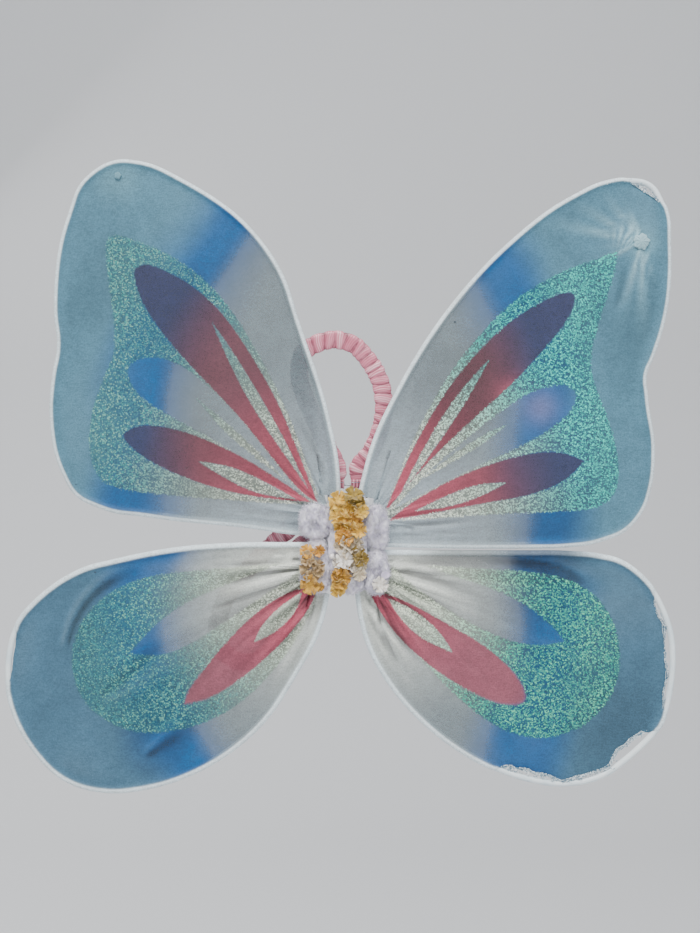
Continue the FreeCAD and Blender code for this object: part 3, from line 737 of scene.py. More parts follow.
LOOKS = {       # how the upper and lower wings differ; root_reach is a share of the wing's length
    "upper": {
        "root": linear(172, 186, 194), "steel": linear(74, 120, 140), "rose": linear(98, 58, 68),
        "film_root": linear(114, 120, 106), "root_reach": 0.42, "root_share": 0.6,
        "ridge_share": 0.3, "rim": (-0.4 * MM, 0.8 * MM), "mauve": (-42 * MM, 6 * MM, 1.0),
        "root_cover": 0.8, "gather": 0.42 * MM, "gather_fade": 34 * MM,
    },
    "lower": {
        "root": linear(204, 207, 198), "steel": linear(64, 104, 128), "rose": linear(142, 78, 92),
        "film_root": linear(130, 139, 122), "root_reach": 0.55, "root_share": 0.92,
        "ridge_share": 0.55, "rim": (0.2 * MM, 1.5 * MM), "mauve": (-14 * MM, 16 * MM, 0.75),
        "root_cover": 0.95, "gather": 0.95 * MM, "gather_fade": 50 * MM,
    },
}


def look_of(wing):
    return LOOKS[wing.split("_")[0]]


def in_wing(wing, points):
    """Percent of the sock's box, outwards and upwards, as (x, z) in metres."""
    low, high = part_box(wing + "_wing_sock")
    points = np.asarray(points, float) / 100
    wide, tall = high[0] - low[0], high[2] - low[2]
    x = low[0] + points[:, 0] * wide if WINGS[wing] > 0 else high[0] - points[:, 0] * wide
    return np.stack([x, low[2] + points[:, 1] * tall], axis=1)


def rim_line(wing):
    """The middle line of a wing's sleeve, from one root to the other, and the way out."""
    ring = front_ring(wing + "_wing_sock")
    root = flat_middle(wing + "_root_binding")
    centres = (ring + np.roll(ring, -1, axis=0)) / 2
    k = nearest(centres, root)
    line = resample(np.roll(ring, -(k + 1), axis=0), AROUND)
    x, z = line[:, 0], line[:, 1]
    area = float(np.sum(x * np.roll(z, -1) - np.roll(x, -1) * z))
    outward = left_of(line) * (-1 if area > 0 else 1)
    return line - outward * SOCK_RADIUS, outward, abs(area) / 2


def slip_of(wing, line):
    """How far inside the sleeve's middle the sock's edge lies, for each column."""
    slip = np.zeros(len(line))
    at = lengths(line)
    rng = np.random.default_rng(11)
    for start, end, reach in SLIPS.get(wing, []):
        ends = in_wing(wing, [start, end])
        marks = sorted(at[nearest(line, p)] for p in ends)
        fade = 9 * MM
        share = ease(at, marks[0] - fade, marks[0] + fade)
        share = share * (1 - ease(at, marks[1] - fade, marks[1] + fade))
        slip = np.maximum(slip, share * reach * MM)
    torn = slip > 1 * MM
    ragged = np.convolve(rng.normal(0, 1, len(line) + 2), np.ones(3) / 3, "valid")
    return slip + torn * ragged * 0.9 * MM * ease(slip, 2 * MM, 5 * MM)


KNOT_RAYS = (113, 128, 150, 168, 187, 206, 256, 271, 288)     # degrees round the knot


def knot_rays(wing, flat):
    """Creases that run out from the place where the nylon is tied together."""
    away = flat - flat_middle(wing + "_tip_knot")
    reach = norms(away)
    angle = np.degrees(np.arctan2(away[:, 1], away[:, 0])) % 360
    rays = np.zeros(len(flat))
    for number, way in enumerate(KNOT_RAYS):
        long = (16 + 7 * (number * 5 % 4)) * MM
        rays = np.maximum(rays, bell(angle - way, 5.2) * bell(reach, long))
    return rays * ease(reach, 2 * MM, 6 * MM)


def fold_height(wing, flat, rim_gap):
    """Height of the front layer's folds and gathers above the plain stretched nylon."""
    height = np.zeros(len(flat))
    for start, bend, end, width, tall in FOLDS[wing]:
        a, b, c = in_wing(wing, [start, bend, end])
        t = np.linspace(0, 1, 25)[:, None]
        line = (1 - t) ** 2 * a + 2 * t * (1 - t) * b + t**2 * c
        margin = 20 * MM
        box = (flat > line.min(axis=0) - margin) & (flat < line.max(axis=0) + margin)
        near = np.flatnonzero(box.all(axis=1))
        gap, share = distance_to(flat[near], line)
        along = directions(line)
        k = np.minimum((share * 24).astype(int), 24)
        side = np.sign(np.cross(along[k], flat[near] - line[k]))
        wide = width * MM * (0.5 + 0.9 * share)
        wave = bell(gap, wide) - 0.75 * bell(gap - 1.6 * wide, wide) * (side > 0)
        height[near] += tall * MM * wave * (1 - ease(share, 0.5, 1.0)) * ease(share, 0.0, 0.1)
    away = flat - flat_middle(wing + "_root_binding")
    reach = norms(away)
    angle = np.arctan2(away[:, 1], away[:, 0] * WINGS[wing])
    gather = sum(np.sin(angle * k + phase) / n for n, (k, phase) in
                 enumerate(((31, 0.4), (47, 1.7), (67, 2.9), (97, 0.8)), start=1))
    look = look_of(wing)
    fade = np.exp(-reach / look["gather_fade"])
    height += gather * look["gather"] * fade * ease(reach, 2 * MM, 14 * MM)
    sag = waves(flat, ((38, 21, 0.3), (-17, 45, 1.1), (61, -29, 2.2)))
    height += sag * 0.16 * MM
    if wing == "upper_right":
        height += knot_rays(wing, flat) * 1.1 * MM
    return height * ease(rim_gap, 2 * MM, 9 * MM)


def print_and_shade_tones(wing, flat, rim_gap, front, height):
    """Painted values for every point of a sock: the print, with painted shade and highlight of its
    folds.
    """
    art, look = PRINT[wing], look_of(wing)
    lower, knotted = wing.startswith("lower"), wing == "upper_right"
    field = depth_in(flat, closed_curve(in_wing(wing, art["glitter"])))
    rose, clear, slit = (
        np.max([depth_in(flat, closed_curve(in_wing(wing, ring))) for ring in art[key]], axis=0)
        for key in ("petals", "clear", "slits"))
    glitter = np.maximum(np.minimum(field, -np.maximum(rose, clear)), slit)
    rose = np.minimum(rose, -slit)

    # distance from the band of dye: positive outside it, negative on the hub's side
    band = resample(in_wing(wing, art["band"]), 60)
    gap, share = distance_to(flat, band)
    k = np.minimum((share * 59).astype(int), 59)
    along = directions(band)
    side = np.cross(along[k], flat - band[k])
    hub = np.array([0.0, flat.mean(axis=0)[1] * 0.05])
    hub_side = np.sign(np.cross(along[30], hub - band[30]))
    dye = np.where(np.sign(side) == hub_side, -gap, gap)
    dye = dye + waves(flat, ((55, 31, 0.9), (-42, 67, 2.1), (90, -38, 0.2))) * 2.2 * MM
    dyed = ease(dye, -44 * MM, -3 * MM)

    # ground: pale, blue along the band, steel blue beyond it, white at the root
    reach = norms(flat - flat_middle(wing + "_root_binding"))
    far = reach.max()
    ground = mix(PALE, DYE_BLUE, dyed)
    ground = mix(ground, look["steel"], ease(dye, 10 * MM, 44 * MM))
    near = 1 - ease(reach, 0.08 * far, look["root_reach"] * far)
    ground = mix(ground, look["root"], near * look["root_share"] * (1 - ease(dye, -30 * MM, 0)))
    lifted = near
    if wing in KNOTS:
        from_knot = norms(flat - flat_middle(wing + "_tip_knot"))
        blanch = bell(from_knot, KNOTS[wing]) * (0.85 if knotted else 0.5)
        ground = mix(ground, linear(112, 160, 174), blanch)
    if knotted:
        # painted highlight along the creases that run out from the knot; near it the ridges get the
        # fold highlight too
        ground = mix(ground, linear(140, 184, 194), knot_rays(wing, flat) * 0.8)
        lifted = np.maximum(near, bell(from_knot, 22 * MM))

    # painted shade darkens the fold valleys and painted highlight lightens the ridges, their whitening
    # partly the denser folded nylon; the back layer is a tenth darker; the rim is the white sleeve
    # showing through
    valley = np.clip(-height / (0.8 * MM), 0, 1)
    ridge = np.clip(height / (1.3 * MM), 0, 1) * (0.25 + 0.75 * lifted)
    shade = ((1 - 0.62 * valley) * (1 + 0.3 * ridge) * np.where(front, 1.0, 0.9))[:, None]
    ground = mix(ground, look["root"], ridge * look["ridge_share"]) * shade
    rim = 1 - ease(rim_gap, *look["rim"])
    if wing == "lower_right":       # tucked under the upper wing's edge: painted shadow of the upper wing darkens the ground and dims the white rim
        x, z = in_wing(wing, [(74, 92)])[0]
        tucked = 1 - ease(flat[:, 0], x - 0.02, x + 0.012)
        tucked = tucked * ease(flat[:, 1], z - 0.004, z + 0.006) * ease(reach, 0.02, 0.06)
        ground = ground * (1 - 0.55 * tucked)[:, None]
        rim = rim * (1 - 0.85 * tucked)
    ground = mix(ground, RIM, rim * 0.94)

    # petals: rose at the root, mauve where they cross the dye
    out = reach / far
    tone = mix(ROSE_ROOT, look["rose"], ease(out, 0.08, 0.42))
    start, end, most = look["mauve"]
    tone = mix(tone, MAUVE, ease(dye, start, end) * most * 0.94)
    if knotted:
        for spot, size, hue, share in (((49, 41), 11 * MM, linear(176, 84, 102), 0.75),
                                       ((58, 38), 12 * MM, linear(118, 116, 160), 0.6)):
            gap = norms(flat - in_wing(wing, [spot])[0])
            haze = share * bell(gap, size)
            tone = mix(tone, hue, haze)
            ground = mix(ground, hue, haze * (share < 0.7))
    film = mix(mix(ground, look["film_root"], 0.9),
               mix(ground, FILM_LEFT if wing.endswith("left") else FILM_RIGHT, 0.7),
               ease(out, 0.22, 0.6))
    gathered = (1 - ease(reach, 20 * MM, 70 * MM)) * look["root_cover"]
    dense = np.maximum(np.maximum(rim, gathered), np.maximum(ridge * lower, 0.93 * dyed))
    # ground, petal_tone and film_tone carry the painted shade and highlight of the folds
    return {
        "ground": ground, "petal_tone": tone * shade, "film_tone": film * (0.55 + 0.45 * shade),
        "petal_depth": rose / MM,
        "soft_edge": 2.4 * ease(out, 0.35, 0.7) if lower else np.full(len(flat), 0.1),
        "glitter_depth": np.where(front, glitter, glitter - 0.4 * MM) / MM,
        "root_share": (1 - ease(out, 0.16, 0.52)) * 0.9,
        "dense": dense * 0.94,
    }


def make_sock(wing, line, outward):
    """One bag of nylon: front layer, round the rim and back layer, open at the root."""
    middle_y = middle_of(wing + "_wing_sock")[1]
    slip = slip_of(wing, line)
    fallen = ease(slip, 0.5 * MM, 2.6 * MM)
    turn = np.radians(np.linspace(0, 90, 7))
    inset = line - outward * RIM_BAND
    root = inset[0] + (inset[-1] - inset[0]) * np.linspace(0, 1, AROUND)[:, None]
    root = root + np.array([-WINGS[wing] * ROOT_OVERHANG, 0.0])

    def layer(sign, fan_rows):
        """Rows round the rim, in its band and then fanning in to the root; sign 1 is front."""
        rows, gaps = [], []
        for a in turn[1:] if sign < 0 else turn:
            scale = SOCK_RADIUS * (1 - fallen) + FREE_EDGE * fallen
            inward = slip - scale * math.cos(a)
            rows.append(upright(line - outward * inward[:, None],
                                middle_y - sign * scale * math.sin(a)))
            gaps.append(fallen * 3 * MM - scale * math.cos(a))
        for step in BAND_STEPS:
            inward = slip + step * (RIM_BAND - slip) / RIM_BAND
            held = HALF_GAP + (SOCK_RADIUS - HALF_GAP) * math.exp(-((step / (2.0 * MM)) ** 2))
            loose = FREE_EDGE + (HALF_GAP - FREE_EDGE) * (1 - math.exp(-step / (3 * MM)))
            rows.append(upright(line - outward * inward[:, None],
                                middle_y - sign * (held * (1 - fallen) + loose * fallen)))
            gaps.append(step + fallen * 3 * MM)
        for k in range(1, fan_rows + 1):
            share = (k / fan_rows) ** 0.92
            rows.append(upright(inset * (1 - share) + root * share, middle_y - sign * HALF_GAP))
            gaps.append(np.full(AROUND, RIM_BAND + 50 * MM * share))
        return rows, gaps

    front_rows, front_gaps = layer(1, fan_rows=92)
    back_rows, back_gaps = layer(-1, fan_rows=30)
    rows = back_rows[::-1] + front_rows
    gap = np.concatenate(back_gaps[::-1] + front_gaps)
    points = np.vstack(rows)
    front = np.arange(len(points)) >= len(back_rows) * AROUND
    flat = points[:, [0, 2]]
    height = np.zeros(len(points))
    height[front] = fold_height(wing, flat[front], gap[front])
    height[~front] = fold_height(wing, flat[~front], gap[~front]) * -0.35
    points[:, 1] -= height
    facing = np.where(front, -1.0, 1.0)
    level = (points[:, 1] - middle_y) * facing
    inner = (gap > 11 * MM) & (level < LEAST_GAP)
    points[inner, 1] = middle_y + facing[inner] * LEAST_GAP
    faces = grid_faces(len(rows), AROUND, flip=WINGS[wing] > 0)
    piece = mesh_piece(wing + "_printed_nylon", points, faces, nylon_material(wing))
    for name, values in print_and_shade_tones(wing, flat, gap, front, height).items():
        paint(piece, name, values)
    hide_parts(wing + "_wing_sock")
    return piece, slip


def tube(line3, radius, sides):
    """A round tube along points in 3-D, closed at both ends."""
    along = directions(line3)
    side = np.cross(along, [0.0, 1.0, 0.0])
    side /= np.maximum(norms(side), 1e-9)[:, None]
    up = np.cross(side, along)
    turn = full_turn(sides)
    ring = (side[:, None, :] * np.cos(turn)[None, :, None]
            + up[:, None, :] * np.sin(turn)[None, :, None])
    points = (line3[:, None, :] + radius * ring).reshape(-1, 3)
    return capped(points, len(line3), sides, line3[0], line3[-1])


def bend_with(piece):
    """The piece's transform baked into its mesh."""
    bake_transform(piece)


def make_frayed(wing, line, outward, slip, spans, seed):
    """Broken threads of knit along a torn edge. A span: from, to, how many, reach in mm."""
    rng = np.random.default_rng(seed)
    y = middle_of(wing + "_wing_sock")[1]
    pile = Pile()
    for start, end, count, reach in spans:
        ends = in_wing(wing, [start, end])
        low, high = sorted(nearest(line, p) for p in ends)
        for _ in range(count):
            k = int(rng.integers(low, high + 1))
            j = min(k + int(rng.integers(2, 9)), AROUND - 1)
            p = line[k] - outward[k] * (slip[k] + 0.8 * MM)
            q = line[j] - outward[j] * (slip[j] + 0.8 * MM)
            rise = rng.uniform(0.25, 1.0) * reach * MM
            if rng.random() < 0.45:
                q = p + outward[k] * rise + (line[j] - line[k]) * rng.uniform(-0.6, 0.6)
            t = np.linspace(0, 1, 9)[:, None]
            middle = (p + q) / 2 + outward[k] * rise + rng.normal(0, 0.6 * MM, 2)
            curve = (1 - t) ** 2 * p + 2 * t * (1 - t) * middle + t**2 * q
            depth = y + rng.normal(0, 0.5 * MM) - 1.1 * MM
            depth = depth + rng.normal(0, 0.3 * MM, 9).cumsum() * 0.4
            pile.add(*tube(upright(curve, depth), rng.uniform(0.13, 0.26) * MM, 5))
    piece = pile.piece(wing + "_frayed_threads", THREAD)
    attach(piece, wing + "_wing")


def make_binding(wing, line):
    """Tape folded over the sock's mouth, front and back, with a row of zigzag stitches."""
    low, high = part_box(wing + "_root_binding")
    a, b = line[0], line[-1]
    along = (b - a) / np.linalg.norm(b - a)
    inward = np.array([-along[1], along[0]])
    if inward @ (flat_middle(wing + "_root_binding") - (a + b) / 2) < 0:
        inward = -inward
    start, span = a + along * SLEEVE_RADIUS, np.linalg.norm(b - a) - 2 * SLEEVE_RADIUS
    wide, wall = 5.0 * MM, 0.6 * MM
    across, up, zigs = 9, 40, 19
    s, t = np.meshgrid(np.linspace(0, 1, up), np.linspace(0, 1, across), indexing="ij")
    edge = 0.25 * MM * np.sin(s * 31) * (t > 0.85)
    spot = (start + along * (s[..., None] * span)
            + inward * (t[..., None] * wide + edge[..., None])).reshape(-1, 2)
    ripple = 0.15 * MM * np.sin(s * 40 + t * 3).ravel()
    zigzag = np.array([start + along * (span * (k + 0.5) / zigs)
                       + inward * wide * (0.25 if k % 2 else 0.7) for k in range(zigs)])
    pile = Pile()
    sides = ((-1, low[1]), (1, high[1]))
    for sign, outer in sides:
        for face in (0, 1):     # outside, then inside
            y = outer - sign * (face * wall) + sign * ripple * (1 - face)
            pile.add(upright(spot, y), grid_faces(up, across, flip=(sign > 0) != (face == 0)))
    for sign, outer in sides:
        pile.add(*tube(upright(zigzag, outer + sign * 0.1 * MM), 0.22 * MM, 6))
    piece = pile.piece(wing + "_mouth_tape", TAPE)
    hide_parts(wing + "_root_binding")
    bend_with(piece)


SNAGS = {       # pulled threads balled up on the nylon, in percent of the sock's box
    "upper_left": [(93.2, 83.1), (90.8, 13.6)], "upper_right": [(31, 61)],
    "lower_left": [(72, 88)], "lower_right": [(60, 22)],
}


def make_snags(wing):
    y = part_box(wing + "_wing_sock")[0][1] + 1.1 * MM
    size = np.array([0.8, 0.35, 0.6]) * MM * (1.1 if wing == "upper_right" else 0.8)
    pile = Pile()
    for number, (x, z) in enumerate(in_wing(wing, SNAGS[wing])):
        middle = np.array([x, y, z])
        points, faces = pillow(middle - size, middle + size, 1.0, 12, 16)
        points += size * 0.25 * lumps(points, 1.2 * MM, number)[:, None]
        pile.add(points, faces)
    material = two_tone(wing + "_snag", 900.0, (26, 34, 42), (58, 70, 80), Roughness=0.8)
    piece = pile.piece(wing + "_pulled_threads", material)
    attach(piece, wing + "_wing")


# ------------------------------------------------------------------------ plush and pads
def pillow(low, high, power, rows=40, columns=88):
    """A rounded box as a closed grid with its poles at the front and back."""
    lat = np.linspace(-math.pi / 2, math.pi / 2, rows)[1:-1]
    lon = full_turn(columns)
    c, s = squarish(np.cos(lat), power)[:, None], squarish(np.sin(lat), power)[:, None]
    x = c * squarish(np.cos(lon), power)[None, :]
    z = c * squarish(np.sin(lon), power)[None, :]
    points, faces = capped(to_points(x, s, z), len(lat), columns, [0, -1, 0], [0, 1, 0])
    return (low + high) / 2 + points * ((high - low) / 2), faces


def outward_normals(points, faces, middle):
    normals = np.zeros_like(points)
    for face in faces:
        a, b, c = points[face[0]], points[face[1]], points[face[2]]
        n = np.cross(b - a, c - a)
        for i in face:
            normals[i] += n
    normals /= np.maximum(norms(normals), 1e-12)[:, None]
    if np.sum(normals * (points - middle)) < 0:
        normals = -normals
    return normals


def lumps(points, size, seed):
    rng = np.random.default_rng(seed)
    total = np.zeros(len(points))
    for _ in range(9):
        way = rng.normal(0, 1, 3)
        way *= rng.uniform(0.6, 1.6) / (np.linalg.norm(way) * size)
        total += np.sin(points @ way * 2 * math.pi + rng.uniform(0, 6.3))
    return total / 3


def make_plush(name, node, body, seed, strands, pile=2.6):
    """A pad of fleece: lumpy, with a fringe of short fibres, pile mm long, standing off it."""
    low, high = box_of(node)
    if body != "hub":       # snug against the fleece in the middle
        if low[0] > 0:
            low[0] -= 1.0 * MM
        else:
            high[0] += 1.0 * MM
    points, faces = pillow(low, high, 0.7 if body == "hub" else 0.8)
    normals = outward_normals(points, faces, (low + high) / 2)
    height = 0.75 * MM * lumps(points, 9 * MM, seed) + 0.3 * MM * lumps(points, 2.4 * MM, seed + 1)
    points = points + normals * (height + 0.5 * MM)[:, None]
    rng = np.random.default_rng(seed + 2)
    wide = 0.13 * MM
    hairs, hair_faces = [], []
    for k in rng.choice(len(points) - 2, strands):
        n = normals[k]
        if n[1] > 0.55:     # none on the side that lies on the object
            continue
        lean = n + rng.normal(0, 0.55, 3)
        lean /= np.linalg.norm(lean)
        side = np.cross(lean, rng.normal(0, 1, 3))
        side /= np.linalg.norm(side)
        other = np.cross(lean, side)
        base = points[k] + rng.normal(0, 0.35 * MM, 3) - n * 0.15 * MM
        tall = rng.uniform(0.5, 1.0) * pile * MM
        bow = side * rng.normal(0, 0.3) * tall
        f = len(points) + len(hairs)
        for centre, thick in ((base, wide), (base + lean * tall * 0.55 + bow * 0.4, 0.6 * wide)):
            hairs += [centre + thick * (side * math.cos(a) + other * math.sin(a))
                      for a in (0, 2.09, 4.19)]
        hairs.append(base + lean * tall + bow)
        hair_faces += [(f, f + 1, f + 4, f + 3), (f + 1, f + 2, f + 5, f + 4),
                       (f + 2, f, f + 3, f + 5), (f + 3, f + 4, f + 6), (f + 4, f + 5, f + 6),
                       (f + 5, f + 3, f + 6), (f + 2, f + 1, f)]
    piece = mesh_piece(name, np.vstack([points, hairs]), faces + hair_faces, PLUSH)
    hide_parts(node)
    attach(piece, body)


def stitches(name, spots, body, thick, lift):
    """Short raised threads, each from one spot to another; thick and lift in mm."""
    pile = Pile()
    t = np.linspace(0, 1, 7)[:, None]
    for p, q in spots:
        line3 = p * (1 - t) + q * t
        way = 1.0 if p[1] > -2.5 * MM else -1.0
        line3[:, 1] += way * lift * MM * np.sin(t[:, 0] * math.pi)
        pile.add(*tube(line3, thick * MM, 6))
    piece = pile.piece(name, THREAD)
    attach(piece, body)


def make_back_pad():
    """A felt pad with a sunk seam near its edge and stitches along the seam."""
    low, high = box_of("back_pad")
    points, faces = pillow(low, high, 0.34, rows=48, columns=120)
    middle = (low + high) / 2
    flat = (points[:, [0, 2]] - middle[[0, 2]]) / ((high - low)[[0, 2]] / 2)
    edge = 1 - np.max(np.abs(flat), axis=1)
    seam = bell(edge - 0.17, 0.05) * 0.5 * MM
    points[:, 1] += np.where(points[:, 1] > middle[1], -1, 1) * seam
    normals = outward_normals(points, faces, middle)
    points += normals * (0.1 * MM * lumps(points, 5 * MM, 5))[:, None]
    piece = mesh_piece("back_pad_felt", points, faces, WHITE_FELT)
    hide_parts("back_pad")
    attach(piece, "hub")
    inset, corner = 3 * MM, 6 * MM
    straight = (high - low)[[0, 2]] / 2 - inset - corner
    turn = np.linspace(0, math.pi / 2, 8)
    arc = np.stack([np.cos(turn), np.sin(turn)], axis=1) * corner
    ring = []
    for quarter, signs in enumerate(((1, 1), (-1, 1), (-1, -1), (1, -1))):
        c, s = math.cos(quarter * math.pi / 2), math.sin(quarter * math.pi / 2)
        ring += list(signs * straight + arc @ np.array([[c, s], [-s, c]]))
    loop = upright(resample(ring + ring[:1], 45), high[1] - 0.75 * MM)
    spots = [(p + (q - p) * 0.15, p + (q - p) * 0.8) for p, q in zip(loop, loop[1:])]
    stitches("back_pad_stitching", spots, "hub", thick=0.32, lift=0.3)


def make_felt_backing():
    """The flat felt that the front's fleece is sewn to."""
    low, high = box_of("hub_felt_backing")
    points, faces = pillow(low, high, 0.2, rows=30, columns=120)
    points[:, 1] += 0.12 * MM * lumps(points, 9 * MM, 3)
    piece = mesh_piece("hub_backing_felt", points, faces, WHITE_FELT)
    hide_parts("hub_felt_backing")
    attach(piece, "hub")


def make_core_wrap():
    """White tape wound round the wire ends, each turn lapping the last."""
    low, high = box_of("hub_core_wrap")
    middle, half = (low + high) / 2, (high - low) / 2
    rows, columns, pitch = 170, 72, 6.5 * MM
    turn = full_turn(columns)[None, :]
    z = np.linspace(low[2], high[2], rows)[:, None]
    lap = (z / pitch + turn / (2 * math.pi)) % 1.0
    proud = 1 - 0.05 * lap - 0.01 * np.sin(lap * 40)
    x = middle[0] + half[0] * squarish(np.cos(turn), 0.5) * proud
    y = middle[1] + half[1] * squarish(np.sin(turn), 0.5) * proud
    points, faces = capped(to_points(x, y, z), rows, columns,
                           [*middle[:2], low[2]], [*middle[:2], high[2]])
    piece = mesh_piece("hub_wound_tape", points, faces, TAPE)
    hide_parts("hub_core_wrap")
    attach(piece, "hub")


# ------------------------------------------------------------------------------- flowers
PETALS = 5
FLOWERS = {     # node: material, tilt about X and about Z (deg), curl, ruffle, turn (deg)
    "gold_flower_top_left": (GOLD, -16, 8, 0.22, 0.0, 10),
    "gold_flower_upper_left": (GOLD, 6, -6, 0.2, 0.0, 28),
    "gold_flower_crown": (OLIVE, -42, 0, 0.3, 0.05, 4),
    "gold_flower_right": (GOLD, -12, 16, 0.26, 0.04, 18),
    "gold_flower_middle": (DEEP_GOLD, 4, 0, 0.3, 0.1, 0),
    "orange_flower": (ORANGE, 10, -8, 0.3, 0.06, 14),
    "cream_flower_middle": (CREAM, 0, 6, 0.32, 0.14, 9),
    "cream_star": (IVORY, -6, 4, 0.16, 0.0, 20),
    "olive_flower": (OLIVE, 8, 30, 0.3, 0.05, 0),
    "cream_flower_lower_right": (CREAM, 6, 12, 0.22, 0.04, 25),
    "gold_flower_lower_middle": (DEEP_GOLD, 8, 0, 0.26, 0.05, 12),
    "gold_flower_bottom": (GOLD, 14, -6, 0.2, 0.0, 30),
    "cream_flower_bottom_right": (IVORY, 8, 10, 0.2, 0.0, 5),
    "yellow_flower_left": (ORANGE, 0, -10, 0.2, 0.0, 16),
    "tan_flower_left": (TAN, 4, -8, 0.34, 0.16, 7),
    "gold_flower_lower_left": (DEEP_GOLD, 12, -10, 0.22, 0.03, 22),
}
FLOWER_GROWTH = {       # times the CAD flower's radius: 1.3, but less by a fold or by the pearl
    "gold_flower_right": 1.05, "gold_flower_upper_left": 1.15, "cream_star": 1.15,
    "gold_flower_bottom": 1.05, "cream_flower_lower_right": 1.08,
}


def felt_flower(radius, thick, curl, ruffle, turn, rng):
    """One die-cut layer: notched petals parted by clefts, curling up from the middle."""
    rings, sectors = 12, 30 * PETALS
    share = np.linspace(0.04, 1, rings)[:, None]
    angle = full_turn(sectors)
    spot = (angle * PETALS / (2 * math.pi)) % 1.0 - 0.5
    number = (angle * PETALS / (2 * math.pi)).astype(int) % PETALS
    squared = 0.95 / np.cos(np.minimum(np.abs(spot), 0.4) * 1.13)
    cleft, notch = 0.56 * bell(np.abs(spot) - 0.5, 0.055), 0.07 * bell(spot, 0.09)
    lift = rng.uniform(0.2, 2.1, PETALS)[number]
    size = rng.uniform(0.92, 1.06, PETALS)[number]
    r = share * radius * ((squared - cleft - notch) * size)
    cup = curl * radius * (share**2) * lift
    cup += ruffle * radius * (share**2) * np.sin(angle * PETALS * 1.5 + 1)
    cup += 0.1 * radius * (share**2) * np.cos(spot * 2 * math.pi)
    angle = angle + math.radians(turn)
    return two_sided(r * np.sin(angle), -cup, r * np.cos(angle), thick)


def turned(points, about_x, about_z):
    a, b = math.radians(about_x), math.radians(about_z)
    rx = np.array([[1, 0, 0], [0, math.cos(a), -math.sin(a)], [0, math.sin(a), math.cos(a)]])
    rz = np.array([[math.cos(b), -math.sin(b), 0], [math.sin(b), math.cos(b), 0], [0, 0, 1]])
    return points @ rx.T @ rz.T


def body_of_node(node):
    bodies = frame["record"]["behaviour"]["bodies"]
    return [b for b, names in bodies.items() if node in names][0]


def make_flower(node, seed):
    material, tilt_x, tilt_z, curl, ruffle, turn = FLOWERS[node]
    low, high = box_of(node)
    rng = np.random.default_rng(seed)
    radius = (high[2] - low[2]) / 2 * FLOWER_GROWTH.get(node, 1.3)
    pile = Pile()
    for layer in range(2 if high[1] - low[1] > 1.8 * MM else 1):
        points, faces = felt_flower(radius * (1 - 0.3 * layer), 0.75 * MM, curl, ruffle,
                                    turn + layer * 180 / PETALS, rng)
        points[:, 1] -= layer * 1.3 * MM
        points = turned(points, tilt_x, tilt_z)
        pile.add(points + [(low[0] + high[0]) / 2, high[1] - 1.0 * MM, (low[2] + high[2]) / 2], faces)
    piece = pile.piece(node + "_felt", material)
    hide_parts(node)
    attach(piece, body_of_node(node))


TUCKED_PETALS = [       # curled scraps of felt between two flowers: share of the way, turn (deg)
    ("gold_flower_top_left", "gold_flower_right", 0.5, 200),
    ("gold_flower_upper_left", "gold_flower_middle", 0.5, 80),
    ("gold_flower_right", "gold_flower_middle", 0.55, 150),
    ("orange_flower", "gold_flower_middle", 0.5, 30),
    ("gold_flower_crown", "gold_flower_right", 0.45, 320),
    ("cream_flower_middle", "cream_star", 0.4, 60),
    ("cream_flower_middle", "orange_flower", 0.6, 260),
    ("cream_star", "cream_flower_lower_right", 0.45, 110),
    ("gold_flower_lower_middle", "cream_star", 0.45, 210),
    ("olive_flower", "cream_flower_middle", 0.3, 0),
    ("tan_flower_left", "gold_flower_lower_left", 0.5, 300),
    ("tan_flower_left", "yellow_flower_left", 0.45, 20),
    ("gold_flower_bottom", "gold_flower_lower_middle", 0.4, 90),
    ("tan_flower_left", "cream_star", 0.21, 140),
    ("tan_flower_left", "gold_flower_lower_middle", 0.26, 75),
    ("yellow_flower_left", "cream_flower_middle", 0.25, 240),
    ("cream_star", "gold_flower_lower_left", 0.17, 10),
    ("cream_flower_middle", "yellow_flower_left", 0.32, 190),
    ("gold_flower_upper_left", "orange_flower", 0.5, 310),
    ("gold_flower_right", "olive_flower", 0.4, 45),
    ("cream_flower_middle", "gold_flower_right", 0.3, 130),
    ("gold_flower_lower_middle", "tan_flower_left", 0.15, 260),
    ("gold_flower_right", "orange_flower", 0.6, 100),
    ("gold_flower_lower_left", "gold_flower_bottom", 0.3, 20),
    ("cream_flower_lower_right", "cream_star", 0.5, 75),
    ("cream_flower_lower_right", "olive_flower", 0.5, 215),
    ("gold_flower_upper_left", "gold_flower_top_left", 0.5, 120),
]
# These flowers go with the lower left wing, so scraps between them and others stay small.
FOLD_SIDE = ("tan_flower_left", "yellow_flower_left", "gold_flower_lower_left")


def make_tucked_petals():
    rng = np.random.default_rng(77)
    for number, (one, other, share, turn) in enumerate(TUCKED_PETALS, start=1):
        a, b = middle_of(one), middle_of(other)
        across_fold = (one in FOLD_SIDE) != (other in FOLD_SIDE)
        radius = (4.3 if across_fold else 5.4) * MM
        points, faces = felt_flower(radius, 0.7 * MM, curl=0.42, ruffle=0.1, turn=turn, rng=rng)
        points = turned(points, rng.uniform(-28, 28), rng.uniform(-28, 28))
        middle = a * (1 - share) + b * share
        points += [middle[0], max(a[1], b[1]) - 0.6 * MM, middle[2]]
        material = FLOWERS[one][0]
        piece = mesh_piece("tucked_petals_%02d" % number, points, faces, material)
        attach(piece, body_of_node(one))


def make_pearl():
    low, high = box_of("pearl_bead")
    points, faces = pillow(low, high, 1.0, rows=28, columns=48)
    piece = mesh_piece("pearl_bead_gloss", points, faces, PEARL)
    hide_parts("pearl_bead")
    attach(piece, "hub")


